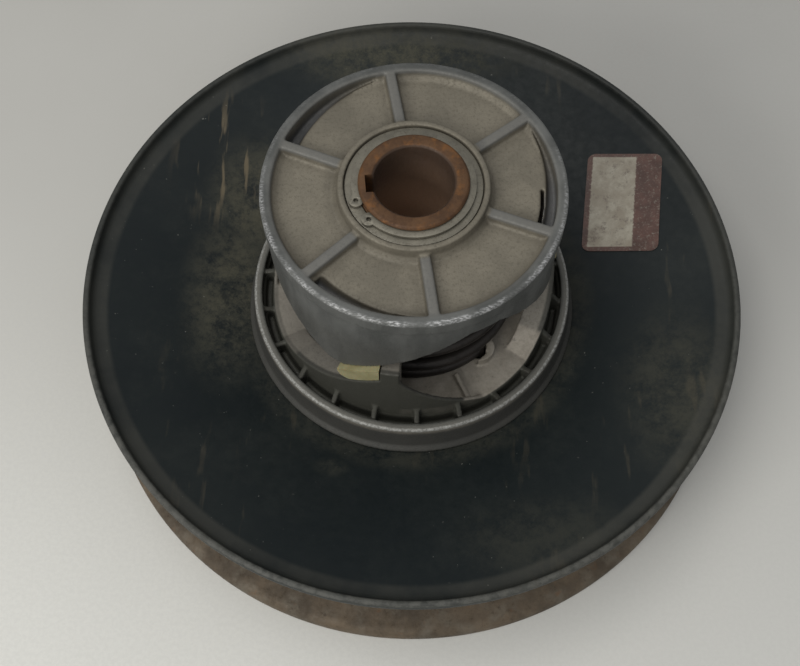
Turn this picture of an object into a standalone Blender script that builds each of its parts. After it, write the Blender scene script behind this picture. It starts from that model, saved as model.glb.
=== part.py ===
"""Driven pulley of a belt variator: two dished steel sheaves on a keyed post, closed by a spring and a
three-ramp cam bracket.

Frame: the pulley's axis is +Z, and z = 0 is the plane on which the lower sheave's lip stands. Lengths
below are in millimetres and angles in degrees, counted from +X towards +Y. The sheaves are closed, as
they are with no belt. To open, the movable sheave rises along Z and turns towards +, with its three
shoes sliding on the bracket's ramps.
"""

import math

import bmesh
import bpy
from mathutils import Matrix, Vector

MM = 0.001
GAP = 0.3  # between pieces that touch
SECTORS = 3  # ramps, towers and shoes
SECTOR_DEG = 360 / SECTORS

# Sheaves
SHEAVE_R = 117.0
BEND_R = 112.6  # where the cone turns into the lip
CONE_SLOPE = math.tan(math.radians(13.0))
LOWER_EDGE_Z = 6.6  # belt face of the fixed sheave at BEND_R
UPPER_EDGE_Z = 42.4  # belt face of the movable sheave at BEND_R
LIP_HEIGHT = 49.0  # top of the upper lip
PLATE_T = 2.6
CONE_END_R = 37.0
FIXED_HOLE_R = 22.4
SHEAVE_STEPS = 48
HOLE_CUT = 12.0  # length of the cutters for screw and rivet holes

# Post
POST_R = 17.46  # 1 3/8 in outside
BORE_R = 12.7  # 1 in shaft
POST_LOW_Z = 4.0
POST_TOP_Z = 114.6
POST_CHAMFER = 0.7
KEYWAY_W = 6.35
KEYWAY_R = 15.1
KEYWAY_DEG = 186.0
RING_GROOVE_R = 16.3
ROUND_STEPS = 48

# Steel hub of the fixed sheave
FIXED_HUB_R = 34.0
FIXED_HUB_TOP_Z = 21.0
FIXED_HUB_LOW_Z = 14.5
FIXED_NECK_R = 22.0
FIXED_NECK_TOP_Z = 27.7
FIXED_FOOT_Z = 6.0
RIVETS = 6
RIVET_PITCH_R = 28.0
RIVET_R = 3.0
RIVET_HEAD_R = 4.4
RIVET_HEAD_H = 2.4
RIVET_CAP_H = 1.2
RIVET_FIRST_DEG = 33.5

# Hub casting of the movable sheave
HUB_BORE_R = 20.6
HUB_BOSS_R = 26.0
HUB_BOSS_TOP_Z = 62.0
HUB_BASE_Z = 28.0
PLATEAU_Z = 44.0
DRUM_R = 50.0
CHANNEL_Z = 39.0
RIM_IN_R = 53.2
RIM_R = 56.4
RIM_TOP_Z = 46.0
HUB_FOOT_R = 59.4
GUSSETS = 22
GUSSET_W = 2.0
GUSSET_RIM_Z = 44.2
GUSSET_DRUM_Z = 51.0
GUSSET_FIRST_DEG = 224.0
SCREWS = 6
SCREW_PITCH_R = 44.0
SCREW_R = 2.4
SCREW_HEAD_R = 4.6
SCREW_DEPTH = 9.0
SCREW_SINK = 0.8
SCREW_PROUD = 1.2
SCREW_FIRST_DEG = 18.5
RIB_R = 43.5
RIB_SIZE = (11.0, 1.8, 4.0)
RIB_BEFORE_DEG = 19.0  # from each spring hole

# Ramps of the cam bracket. The skirt's lower edge over one sector, from the tooth's tip
RAMP_RISE = 0.56  # per degree of turn
TOOTH_Z = 69.0
TOOTH_START_DEG = 236.0
RAMP_START_DEG = 243.0
RAMP_TOP_DEG = 293.0
BACK_START_DEG = 305.0
SKIRT_IN_R = 40.9
SKIRT_R = 47.6

# Towers of the movable hub, whose seats run parallel to the ramps
TOWER_IN_R = 41.0
TOWER_R = 49.7
TOWER_FOOT_DEG = 204.0
SEAT_START_DEG = 236.0
BLOCK_START_DEG = 258.8
BLOCK_END_DEG = 266.2
BLOCK_TOP_Z = 76.5
TAIL_IN_R = 48.0
TAIL_TOP_Z = 70.7
TAIL_END_DEG = 302.0

# Shoes
SHOE_START_DEG = 241.0
SHOE_END_DEG = 258.4
SHOE_T = 7.2  # measured along Z
SHOE_IN_R = 41.8
SHOE_R = 49.4
SHOE_NOSE_DEG = 5.0
SHOE_NOSE_T = 1.4
PIN_R = 1.5
PIN_LENGTH = 9.0
PIN_DEG = 252.0
PIN_PITCH_R = 45.4

# Cam bracket
BRACKET_R = 48.3
BRACKET_TOP_Z = 110.8
STEP_Z = 104.5
RIM_WIDTH = 3.4
WEB_TOP_Z = 107.8
WEB_LOW_Z = 102.5
BOSS_R = 23.8
BOSS_BORE_R = 22.0
BOSS_TOP_Z = 112.7
COUNTERBORE_Z = 110.5
BRACKET_HUB_R = 24.4
BRACKET_HUB_LOW_Z = 84.0
RIB_DEGS = (38.0, 101.0, 160.0, 224.0, 279.0, 341.0)
RIB_W = 4.3
POCKET_IN_R = 40.0
POCKET_OUT_R = 44.9
POCKET_FLOOR_Z = 103.6
POCKETS = ((232.0, 276.0, 226.0), (343.0, 394.0, 343.0), (158.0, 107.0, 158.0))  # deep, fade and near end
SLIT_W = 0.8
SLITS = ((343.0, 362.0), (139.0, 158.0))

# Key between the post and the bracket
KEY_W = 4.76
KEY_DEG = 10.5
KEY_LOW_Z = 88.0
KEY_TOP_Z = 106.0
KEY_IN_R = 15.2
KEY_OUT_R = 19.8

# Washer and retaining ring
WASHER_R = 21.6
WASHER_T = 1.0
RING_R = 19.5
RING_T = 1.0
LUG_R = 2.3
LUG_PITCH_R = 19.0
LUG_HOLE_R = 0.8
LUG_DEGS = (200.7, 224.5)

# Bushes
BUSH_IN_R = POST_R + GAP
BUSH_R = HUB_BORE_R - GAP
BUSH_SPANS = {"lower_bush": (28.1, 44.0), "upper_bush": (47.0, 61.6)}

# Spring
SPRING_R = 34.5
WIRE_R = 2.2
SPRING_LOW_Z = PLATEAU_Z + GAP + WIRE_R
SPRING_TOP_Z = WEB_LOW_Z - GAP - WIRE_R
SPRING_TURNS = 6.1
SPRING_FLAT_DEG = 200.0
SPRING_START_DEG = 314.0
SPRING_POINT_DEG = 24.0
SPRING_LEG = 4.6
ANCHOR_R = 5.5
ANCHOR_TOP_Z = 48.0
ANCHOR_SLOT_W = 7.2
LEG_HOLE_R = 2.7

# Label
LABEL_CENTRE = (78.7, 40.3)
LABEL_SIZE = (27.5, 40.0)
LABEL_TURN_DEG = -5.0
LABEL_T = 0.3
LABEL_CORNER_R = 3.0

# Colours: base colour, roughness, metallic
FINISHES = {
    "black_paint": ((0.016, 0.022, 0.024), 0.45, 0.0),
    "rusty_steel": ((0.085, 0.055, 0.040), 0.65, 0.6),
    "post_steel": ((0.20, 0.085, 0.030), 0.60, 0.7),
    "cast_aluminium": ((0.22, 0.20, 0.165), 0.50, 0.8),
    "spring_steel": ((0.035, 0.028, 0.024), 0.50, 0.6),
    "plated_steel": ((0.28, 0.26, 0.22), 0.40, 0.9),
    "shoe_plastic": ((0.55, 0.50, 0.24), 0.45, 0.0),
    "bush_bronze": ((0.22, 0.13, 0.06), 0.45, 0.8),
    "label_film": ((0.12, 0.03, 0.025), 0.50, 0.0),
}


def clear_scene():
    for obj in list(bpy.data.objects):
        bpy.data.objects.remove(obj, do_unlink=True)


def new_collection(name, hidden=False):
    collection = bpy.data.collections.new(name)
    bpy.context.scene.collection.children.link(collection)
    collection.hide_render = hidden
    return collection


def finish_material(name):
    colour, roughness, metallic = FINISHES[name]
    material = bpy.data.materials.new(name)
    material.use_nodes = True
    shader = material.node_tree.nodes["Principled BSDF"]
    shader.inputs["Base Color"].default_value = (*colour, 1.0)
    shader.inputs["Roughness"].default_value = roughness
    shader.inputs["Metallic"].default_value = metallic
    return material


clear_scene()
PARTS = new_collection("driven_pulley")
CUTTERS = new_collection("cutters", hidden=True)
MATERIALS = {name: finish_material(name) for name in FINISHES}


def smooth(mesh, angle_deg=32.0):
    mesh.shade_smooth()
    mesh.set_sharp_from_angle(angle=math.radians(angle_deg))


def add_part(name, mesh, finish):
    """The mesh as a named part of the pulley."""
    obj = bpy.data.objects.new(name, mesh)
    mesh.materials.append(MATERIALS[finish])
    PARTS.objects.link(obj)
    return obj


def add_cutter(name, mesh):
    """The mesh as a helper that a Boolean joins or cuts."""
    obj = bpy.data.objects.new(name, mesh)
    CUTTERS.objects.link(obj)
    obj.hide_render = True
    obj.display_type = "WIRE"
    return obj


def combine(obj, other, operation):
    modifier = obj.modifiers.new(f"{operation.lower()}_{other.name}", "BOOLEAN")
    modifier.operation = operation
    modifier.object = other
    modifier.solver = "EXACT"


def mesh_of(name, bm):
    bmesh.ops.recalc_face_normals(bm, faces=bm.faces)
    mesh = bpy.data.meshes.new(name)
    bm.to_mesh(mesh)
    bm.free()
    return mesh


def profile_mesh(name, points, closed):
    """A profile of (radius, z) points, in the XZ plane. It runs down its outer side."""
    edges = [(i, i + 1) for i in range(len(points) - 1)]
    if closed:
        edges.append((len(points) - 1, 0))
    mesh = bpy.data.meshes.new(name)
    mesh.from_pydata([(r * MM, 0, z * MM) for r, z in points], edges, [])
    return mesh


def spin_profile(obj, steps):
    screw = obj.modifiers.new("turn", "SCREW")
    screw.axis = "Z"
    screw.angle = 2 * math.pi
    screw.steps = steps
    screw.render_steps = steps
    screw.use_merge_vertices = True
    screw.merge_threshold = 0.00001
    screw.use_smooth_shade = True


def turned(name, points, finish, steps=ROUND_STEPS, closed=True):
    obj = add_part(name, profile_mesh(name, points, closed), finish)
    spin_profile(obj, steps)
    return obj


def tube_loop(inner_r, outer_r, low_z, top_z):
    """The closed profile of a plain tube, clockwise."""
    return [(outer_r, top_z), (outer_r, low_z), (inner_r, low_z), (inner_r, top_z)]


def polar(radius, degrees, z):
    angle = math.radians(degrees)
    return Vector((radius * math.cos(angle), radius * math.sin(angle), z)) * MM


def value(height, degrees):
    """A height that is either a number or a function of the angle."""
    return height(degrees) if callable(height) else height


def angles_between(start, end, step, corners=()):
    """Angles from start to end about a step apart, through every corner that lies between."""
    stops = sorted({start, end, *(c for c in corners if start < c < end)})
    angles = []
    for first, last in zip(stops, stops[1:]):
        count = max(1, round((last - first) / step))
        angles += [first + (last - first) * i / count for i in range(count)]
    return angles + [end]


def add_arc_wall(bm, inner_r, outer_r, low, high, angles, closed=False):
    """A wall that follows an arc, with a lower and an upper edge that may climb along it."""
    if closed:
        angles = angles[:-1]
    sections = []
    for degrees in angles:
        low_z = value(low, degrees)
        high_z = value(high, degrees)
        corners = ((inner_r, low_z), (outer_r, low_z), (outer_r, high_z), (inner_r, high_z))
        sections.append([bm.verts.new(polar(r, degrees, z)) for r, z in corners])
    pairs = list(zip(sections, sections[1:]))
    if closed:
        pairs.append((sections[-1], sections[0]))
    else:
        bm.faces.new(sections[0])
        bm.faces.new(reversed(sections[-1]))
    for first, second in pairs:
        for i in range(4):
            j = (i + 1) % 4
            bm.faces.new((first[i], second[i], second[j], first[j]))


def add_box(bm, size, matrix):
    """A box of this size in millimetres, placed by a matrix in metres."""
    scale = Matrix.Diagonal((size[0] * MM, size[1] * MM, size[2] * MM, 1))
    bmesh.ops.create_cube(bm, size=1, matrix=matrix @ scale)


def add_fin(bm, outline, width, degrees):
    """A flat fin of this outline, in (radius, z), that stands along a radius."""
    turn = Matrix.Rotation(math.radians(degrees), 4, "Z")
    near = [bm.verts.new(turn @ Vector((r * MM, -width / 2 * MM, z * MM))) for r, z in outline]
    extruded = bmesh.ops.extrude_face_region(bm, geom=[bm.faces.new(near)])
    far = [v for v in extruded["geom"] if isinstance(v, bmesh.types.BMVert)]
    bmesh.ops.translate(bm, verts=far, vec=turn @ Vector((0, width * MM, 0)))


def add_cylinder(bm, radius, depth, matrix, segments=16):
    bmesh.ops.create_cone(
        bm,
        cap_ends=True,
        segments=segments,
        radius1=radius * MM,
        radius2=radius * MM,
        depth=depth * MM,
        matrix=matrix,
    )


def radial_matrix(radius, degrees, z):
    """Local X points away from the axis at this angle, and Z stays up."""
    return Matrix.Translation(polar(radius, degrees, z)) @ Matrix.Rotation(math.radians(degrees), 4, "Z")


def ramp_edge_z(degrees):
    """The skirt's lower edge: tooth tip, ramp up, flat top, and back down to the next tooth."""
    turn = (degrees - TOOTH_START_DEG) % SECTOR_DEG
    tip = RAMP_START_DEG - TOOTH_START_DEG
    top = RAMP_TOP_DEG - TOOTH_START_DEG
    back = BACK_START_DEG - TOOTH_START_DEG
    top_z = TOOTH_Z + RAMP_RISE * (top - tip)
    if turn <= tip:
        return TOOTH_Z
    if turn <= top:
        return TOOTH_Z + RAMP_RISE * (turn - tip)
    if turn <= back:
        return top_z
    return top_z - (top_z - TOOTH_Z) * (turn - back) / (SECTOR_DEG - back)


def ramp_line_z(degrees):
    """The first ramp's line, carried on past its ends."""
    return TOOTH_Z + RAMP_RISE * (degrees - RAMP_START_DEG)


def seat_z(degrees):
    """The towers' sloping seats, one shoe below the ramps."""
    return ramp_line_z(degrees) - SHOE_T - 2 * GAP


def each_sector(degrees):
    return [degrees + SECTOR_DEG * k for k in range(SECTORS)]


def shifted(function, shift):
    return lambda degrees: function(degrees - shift)


# --- sheaves -----------------------------------------------------------------------------------------


def lip_loop(edge_z, lip_z, hole_r, hole_z):
    """The movable sheave's closed profile, clockwise from the lip's outer top corner.

    The plate climbs outwards along its cone, turns up round a small bend and ends in a low lip.
    """
    bend_out = [
        (SHEAVE_R - 0.2, edge_z + 2.6),
        (SHEAVE_R - 1.2, edge_z + 1.0),
        (SHEAVE_R - 2.6, edge_z + 0.3),
        (BEND_R, edge_z),
    ]
    top_of_bend = [
        (BEND_R - 0.8, edge_z + PLATE_T),
        (BEND_R + 0.8, edge_z + PLATE_T + 0.6),
        (SHEAVE_R - 2.7, edge_z + PLATE_T + 1.9),
        (SHEAVE_R - 2.3, lip_z - 0.5),
    ]
    return (
        [(SHEAVE_R - 0.6, lip_z), (SHEAVE_R, lip_z - 0.8)]
        + bend_out
        + [(hole_r, hole_z), (hole_r, hole_z + PLATE_T)]
        + top_of_bend
        + [(SHEAVE_R - 1.8, lip_z)]
    )


def movable_sheave():
    hole_z = UPPER_EDGE_Z - (BEND_R - CONE_END_R) * CONE_SLOPE
    loop = lip_loop(UPPER_EDGE_Z, LIP_HEIGHT, CONE_END_R, hole_z)
    obj = turned("movable_sheave", loop, "black_paint", SHEAVE_STEPS)
    holes = bmesh.new()
    sinks = bmesh.new()
    sink_depth = HOLE_CUT / 2
    for degrees in screw_angles():
        add_cylinder(holes, SCREW_R + GAP, HOLE_CUT, radial_matrix(SCREW_PITCH_R, degrees, screw_face_z()))
        sink_z = screw_face_z() + SCREW_SINK + GAP - sink_depth / 2
        add_cylinder(sinks, SCREW_HEAD_R + GAP, sink_depth, radial_matrix(SCREW_PITCH_R, degrees, sink_z))
    combine(obj, add_cutter("sheave_screw_holes", mesh_of("sheave_screw_holes", holes)), "DIFFERENCE")
    combine(obj, add_cutter("sheave_screw_sinks", mesh_of("sheave_screw_sinks", sinks)), "DIFFERENCE")


def fixed_sheave():
    """The lower sheave: the same lip turned down, and a flat centre for its hub."""
    centre_z = fixed_centre_z()
    lip = lip_loop(-LOWER_EDGE_Z, 0.0, CONE_END_R, -centre_z)
    centre = [(FIXED_HOLE_R, -centre_z), (FIXED_HOLE_R, -centre_z + PLATE_T), (CONE_END_R, -centre_z + PLATE_T)]
    at = lip.index((CONE_END_R, -centre_z))
    flat = lip[: at + 1] + centre + lip[at + 2 :]
    loop = [(r, -z) for r, z in reversed(flat)]
    obj = turned("fixed_sheave", loop, "rusty_steel", SHEAVE_STEPS)
    holes = bmesh.new()
    for degrees in rivet_angles():
        add_cylinder(holes, RIVET_R + GAP, HOLE_CUT, radial_matrix(RIVET_PITCH_R, degrees, centre_z - 1.0))
    combine(obj, add_cutter("fixed_rivet_holes", mesh_of("fixed_rivet_holes", holes)), "DIFFERENCE")


# --- fixed hub, rivets and post ----------------------------------------------------------------------


def fixed_centre_z():
    """The belt side of the fixed sheave's flat centre."""
    return LOWER_EDGE_Z + (BEND_R - CONE_END_R) * CONE_SLOPE


def rivet_angles():
    return [RIVET_FIRST_DEG + 360 * k / RIVETS for k in range(RIVETS)]


def screw_angles():
    return [SCREW_FIRST_DEG + 360 * k / SCREWS for k in range(SCREWS)]


def screw_face_z():
    """The movable sheave's belt face where the screws sit."""
    return UPPER_EDGE_Z - (BEND_R - SCREW_PITCH_R) * CONE_SLOPE


def fixed_hub():
    loop = [
        (FIXED_NECK_R, FIXED_NECK_TOP_Z),
        (FIXED_NECK_R, FIXED_HUB_TOP_Z),
        (FIXED_HUB_R - 0.8, FIXED_HUB_TOP_Z),
        (FIXED_HUB_R, FIXED_HUB_TOP_Z - 0.8),
        (FIXED_HUB_R, FIXED_HUB_LOW_Z + 1.2),
        (FIXED_HUB_R - 1.2, FIXED_HUB_LOW_Z),
        (FIXED_NECK_R + 1.0, FIXED_HUB_LOW_Z),
        (FIXED_NECK_R, FIXED_HUB_LOW_Z - 1.0),
        (FIXED_NECK_R, FIXED_FOOT_Z + 1.0),
        (FIXED_NECK_R - 1.0, FIXED_FOOT_Z),
        (POST_R + GAP, FIXED_FOOT_Z),
        (POST_R + GAP, FIXED_NECK_TOP_Z),
    ]
    obj = turned("fixed_hub", loop, "rusty_steel")
    holes = bmesh.new()
    middle_z = (FIXED_HUB_TOP_Z + FIXED_HUB_LOW_Z) / 2
    for degrees in rivet_angles():
        add_cylinder(holes, RIVET_R + GAP, HOLE_CUT, radial_matrix(RIVET_PITCH_R, degrees, middle_z))
    combine(obj, add_cutter("fixed_hub_holes", mesh_of("fixed_hub_holes", holes)), "DIFFERENCE")


def fixed_rivets():
    """Rivets through the fixed sheave and its hub, with a flat head on the belt side."""
    face_z = fixed_centre_z() + GAP
    low_z = FIXED_HUB_LOW_Z - GAP
    half = [
        (0, face_z + RIVET_CAP_H),
        (RIVET_HEAD_R - 0.8, face_z + RIVET_CAP_H),
        (RIVET_HEAD_R, face_z + RIVET_CAP_H / 2),
        (RIVET_HEAD_R, face_z),
        (RIVET_R, face_z),
        (RIVET_R, low_z),
        (RIVET_HEAD_R, low_z),
        (RIVET_HEAD_R * 0.8, low_z - RIVET_HEAD_H * 0.6),
        (0, low_z - RIVET_HEAD_H),
    ]
    for k, degrees in enumerate(rivet_angles()):
        obj = turned(f"fixed_rivet_{k + 1}", half, "rusty_steel", steps=12, closed=False)
        obj.location = polar(RIVET_PITCH_R, degrees, 0)


def post():
    """The keyed tube that carries both sheaves. Its bore takes the shaft."""
    groove = (ring_low_z() - GAP, ring_low_z() + RING_T + GAP)
    loop = [
        (POST_R - POST_CHAMFER, POST_TOP_Z),
        (POST_R, POST_TOP_Z - POST_CHAMFER),
        (POST_R, groove[1]),
        (RING_GROOVE_R, groove[1]),
        (RING_GROOVE_R, groove[0]),
        (POST_R, groove[0]),
        (POST_R, POST_LOW_Z + POST_CHAMFER),
        (POST_R - POST_CHAMFER, POST_LOW_Z),
        (BORE_R + POST_CHAMFER, POST_LOW_Z),
        (BORE_R, POST_LOW_Z + POST_CHAMFER),
        (BORE_R, POST_TOP_Z - POST_CHAMFER),
        (BORE_R + POST_CHAMFER, POST_TOP_Z),
    ]
    obj = turned("post", loop, "post_steel")
    cut = bmesh.new()
    start_r = BORE_R - 2.7
    at = radial_matrix((start_r + KEYWAY_R) / 2, KEYWAY_DEG, (POST_TOP_Z + POST_LOW_Z) / 2)
    add_box(cut, (KEYWAY_R - start_r, KEYWAY_W, POST_TOP_Z + 20.0), at)
    combine(obj, add_cutter("shaft_keyway", mesh_of("shaft_keyway", cut)), "DIFFERENCE")
    seat = bmesh.new()
    inner = KEY_IN_R - GAP
    size = (KEY_OUT_R - inner + 2.0, KEY_W + 2 * GAP, KEY_TOP_Z - KEY_LOW_Z + 2 * GAP)
    middle = inner + size[0] / 2
    add_box(seat, size, radial_matrix(middle, KEY_DEG, (KEY_TOP_Z + KEY_LOW_Z) / 2))
    combine(obj, add_cutter("bracket_key_seat", mesh_of("bracket_key_seat", seat)), "DIFFERENCE")


def bracket_key():
    bm = bmesh.new()
    size = (KEY_OUT_R - KEY_IN_R, KEY_W, KEY_TOP_Z - KEY_LOW_Z)
    middle = (KEY_OUT_R + KEY_IN_R) / 2
    add_box(bm, size, radial_matrix(middle, KEY_DEG, (KEY_TOP_Z + KEY_LOW_Z) / 2))
    add_part("bracket_key", mesh_of("bracket_key", bm), "plated_steel")


def ring_low_z():
    return COUNTERBORE_Z + GAP + WASHER_T + GAP


def bracket_washer():
    low_z = COUNTERBORE_Z + GAP
    turned("bracket_washer", tube_loop(POST_R + GAP, WASHER_R, low_z, low_z + WASHER_T), "plated_steel")


def retaining_ring():
    """An open ring with two lugs, sitting in the post's groove."""
    low_z = ring_low_z()
    bm = bmesh.new()
    start = LUG_DEGS[1] - 360
    add_arc_wall(
        bm, RING_GROOVE_R + GAP, RING_R, low_z, low_z + RING_T, angles_between(start, LUG_DEGS[0], 6.0)
    )
    obj = add_part("retaining_ring", mesh_of("retaining_ring", bm), "plated_steel")
    lugs = bmesh.new()
    holes = bmesh.new()
    for degrees in LUG_DEGS:
        at = radial_matrix(LUG_PITCH_R, degrees, low_z + RING_T / 2)
        add_cylinder(lugs, LUG_R, RING_T - 0.04, at, segments=20)
        add_cylinder(holes, LUG_HOLE_R, RING_T * 3, at, segments=12)
    combine(obj, add_cutter("ring_lugs", mesh_of("ring_lugs", lugs)), "UNION")
    combine(obj, add_cutter("ring_lug_holes", mesh_of("ring_lug_holes", holes)), "DIFFERENCE")
    smooth(obj.data)


# --- movable hub -------------------------------------------------------------------------------------


def cone_top_z(radius):
    """The movable sheave's upper face."""
    return UPPER_EDGE_Z - (BEND_R - radius) * CONE_SLOPE + PLATE_T


def movable_hub():
    """The hub casting: bored boss, raised plateau with three towers, channel and outer wall."""
    loop = [
        (RIM_R - 0.6, RIM_TOP_Z),
        (RIM_R, RIM_TOP_Z - 0.6),
        (RIM_R + 0.9, CHANNEL_Z),
        (HUB_FOOT_R - 2.0, 35.4),
        (HUB_FOOT_R, cone_top_z(HUB_FOOT_R) + GAP + 0.8),
        (HUB_FOOT_R, cone_top_z(HUB_FOOT_R) + GAP),
        (CONE_END_R, cone_top_z(CONE_END_R) + GAP),
        (CONE_END_R - GAP, HUB_BASE_Z),
        (HUB_BORE_R, HUB_BASE_Z),
        (HUB_BORE_R, HUB_BOSS_TOP_Z),
        (HUB_BOSS_R - 1.0, HUB_BOSS_TOP_Z),
        (HUB_BOSS_R, HUB_BOSS_TOP_Z - 1.0),
        (HUB_BOSS_R, PLATEAU_Z + 2.5),
        (HUB_BOSS_R + 2.5, PLATEAU_Z),
        (DRUM_R - 0.6, PLATEAU_Z),
        (DRUM_R, PLATEAU_Z - 0.6),
        (DRUM_R, CHANNEL_Z),
        (RIM_IN_R + 0.6, CHANNEL_Z),
        (RIM_IN_R, RIM_TOP_Z - 0.5),
        (RIM_IN_R + 0.5, RIM_TOP_Z),
    ]
    obj = turned("movable_hub", loop, "cast_aluminium")

    towers = bmesh.new()
    tails = bmesh.new()
    for k, start in enumerate(each_sector(0.0)):
        top = shifted(tower_top_z, start)
        seat = (SEAT_START_DEG + start,)
        angles = angles_between(TOWER_FOOT_DEG + start, BLOCK_START_DEG + start, 5.0, seat)
        angles += [BLOCK_START_DEG + start + 0.01, BLOCK_END_DEG + start]
        add_arc_wall(towers, TOWER_IN_R, TOWER_R, PLATEAU_Z - 3.0, top, angles)
        bend = (BLOCK_END_DEG + start,)
        tail_angles = angles_between(BLOCK_END_DEG - 2.0 + start, TAIL_END_DEG + start, 5.0, bend)
        add_arc_wall(tails, TAIL_IN_R, TOWER_R - 0.1, PLATEAU_Z - 2.0, shifted(tail_top_z, start), tail_angles)
    combine(obj, add_cutter("hub_towers", mesh_of("hub_towers", towers)), "UNION")
    combine(obj, add_cutter("hub_tails", mesh_of("hub_tails", tails)), "UNION")

    gussets = bmesh.new()
    for k in range(GUSSETS):
        degrees = GUSSET_FIRST_DEG + 360 * k / GUSSETS
        outline = [
            (DRUM_R - 1.2, CHANNEL_Z - 1.0),
            (RIM_IN_R + 1.0, CHANNEL_Z - 1.0),
            (RIM_IN_R + 1.0, GUSSET_RIM_Z),
            (DRUM_R - 1.2, min(GUSSET_DRUM_Z, drum_top_z(degrees) - 0.6)),
        ]
        add_fin(gussets, outline, GUSSET_W, degrees)
    combine(obj, add_cutter("hub_gussets", mesh_of("hub_gussets", gussets)), "UNION")

    anchor = bmesh.new()
    height = ANCHOR_TOP_Z - PLATEAU_Z + 2.0
    at = radial_matrix(SPRING_R, SPRING_START_DEG, ANCHOR_TOP_Z - height / 2)
    add_cylinder(anchor, ANCHOR_R, height, at, 20)
    combine(obj, add_cutter("spring_anchor", mesh_of("spring_anchor", anchor)), "UNION")
    ribs = bmesh.new()
    for degrees in each_sector(SPRING_START_DEG):
        add_box(ribs, RIB_SIZE, radial_matrix(RIB_R, degrees - RIB_BEFORE_DEG, PLATEAU_Z + 0.4))
    combine(obj, add_cutter("plateau_ribs", mesh_of("plateau_ribs", ribs)), "UNION")

    slot = bmesh.new()
    slot_height = 2 * (ANCHOR_TOP_Z - PLATEAU_Z)
    at = radial_matrix(SPRING_R, SPRING_START_DEG, PLATEAU_Z + 0.05 + slot_height / 2)
    at = at @ Matrix.Translation((0, -0.9 * ANCHOR_R * MM, 0))
    add_box(slot, (ANCHOR_SLOT_W, 2 * ANCHOR_R, slot_height), at)
    combine(obj, add_cutter("anchor_slot", mesh_of("anchor_slot", slot)), "DIFFERENCE")
    holes = bmesh.new()
    for degrees in each_sector(SPRING_START_DEG):
        add_cylinder(holes, LEG_HOLE_R, 14.0, radial_matrix(SPRING_R, degrees, PLATEAU_Z + 1.5), 20)
    combine(obj, add_cutter("anchor_holes", mesh_of("anchor_holes", holes)), "DIFFERENCE")

    blind = bmesh.new()
    for degrees in screw_angles():
        low_z = screw_face_z() - 3.0
        top_z = screw_face_z() + SCREW_DEPTH + 2 * GAP
        at = radial_matrix(SCREW_PITCH_R, degrees, (low_z + top_z) / 2)
        add_cylinder(blind, SCREW_R + GAP, top_z - low_z, at)
    combine(obj, add_cutter("hub_screw_holes", mesh_of("hub_screw_holes", blind)), "DIFFERENCE")
    combine(obj, pin_cutter("hub_pin_holes"), "DIFFERENCE")


def tower_top_z(degrees):
    """A gentle run-up from the plateau, then the shoe's seat, then the block that backs the shoe."""
    if degrees <= SEAT_START_DEG:
        share = (degrees - TOWER_FOOT_DEG) / (SEAT_START_DEG - TOWER_FOOT_DEG)
        return PLATEAU_Z - 0.5 + (seat_z(SEAT_START_DEG) - PLATEAU_Z + 0.5) * share
    if degrees <= BLOCK_START_DEG:
        return seat_z(degrees)
    return BLOCK_TOP_Z


def tail_top_z(degrees):
    """The tail's top edge falls from the block to the plateau."""
    if degrees <= BLOCK_END_DEG:
        return TAIL_TOP_Z
    share = (degrees - BLOCK_END_DEG) / (TAIL_END_DEG - BLOCK_END_DEG)
    return TAIL_TOP_Z + (PLATEAU_Z - 0.4 - TAIL_TOP_Z) * share


def drum_top_z(degrees):
    """The top of the drum's outer wall at any angle."""
    local = TOWER_FOOT_DEG + (degrees - TOWER_FOOT_DEG) % SECTOR_DEG
    if local <= BLOCK_END_DEG:
        return tower_top_z(local)
    return max(tail_top_z(local), PLATEAU_Z)


def sheave_screws():
    """Sunk screws that hold the movable sheave to its hub, with their heads just proud on the belt side."""
    face = screw_face_z()
    half = [
        (0, face + SCREW_DEPTH),
        (SCREW_R, face + SCREW_DEPTH),
        (SCREW_R, face + SCREW_SINK),
        (SCREW_HEAD_R, face + SCREW_SINK),
        (SCREW_HEAD_R, face - SCREW_PROUD / 2),
        (SCREW_HEAD_R - 0.6, face - SCREW_PROUD),
        (0, face - SCREW_PROUD),
    ]
    for k, degrees in enumerate(screw_angles()):
        obj = turned(f"sheave_screw_{k + 1}", half, "plated_steel", steps=12, closed=False)
        obj.location = polar(SCREW_PITCH_R, degrees, 0)


# --- shoes and their pins ----------------------------------------------------------------------------


def pin_matrix(degrees):
    """A frame on a seat's line, turned to this sector, whose Z is square to the ramp."""
    slope = math.atan2(RAMP_RISE, math.radians(1.0) * PIN_PITCH_R)
    at = radial_matrix(PIN_PITCH_R, degrees, seat_z(PIN_DEG) + GAP)
    return at @ Matrix.Rotation(slope, 4, "X")


def pin_cutter(name):
    bm = bmesh.new()
    for degrees in each_sector(PIN_DEG):
        add_cylinder(bm, PIN_R + GAP, PIN_LENGTH + 2 * GAP, pin_matrix(degrees))
    return add_cutter(name, mesh_of(name, bm))


def shoe_low_z(degrees):
    """The shoe's underside, rounded up at its free end."""
    share = min(1.0, max(0.0, (degrees - SHOE_START_DEG) / SHOE_NOSE_DEG))
    thickness = SHOE_NOSE_T + (SHOE_T - GAP - SHOE_NOSE_T) * math.sqrt(share)
    return ramp_line_z(degrees) - GAP - thickness


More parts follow.
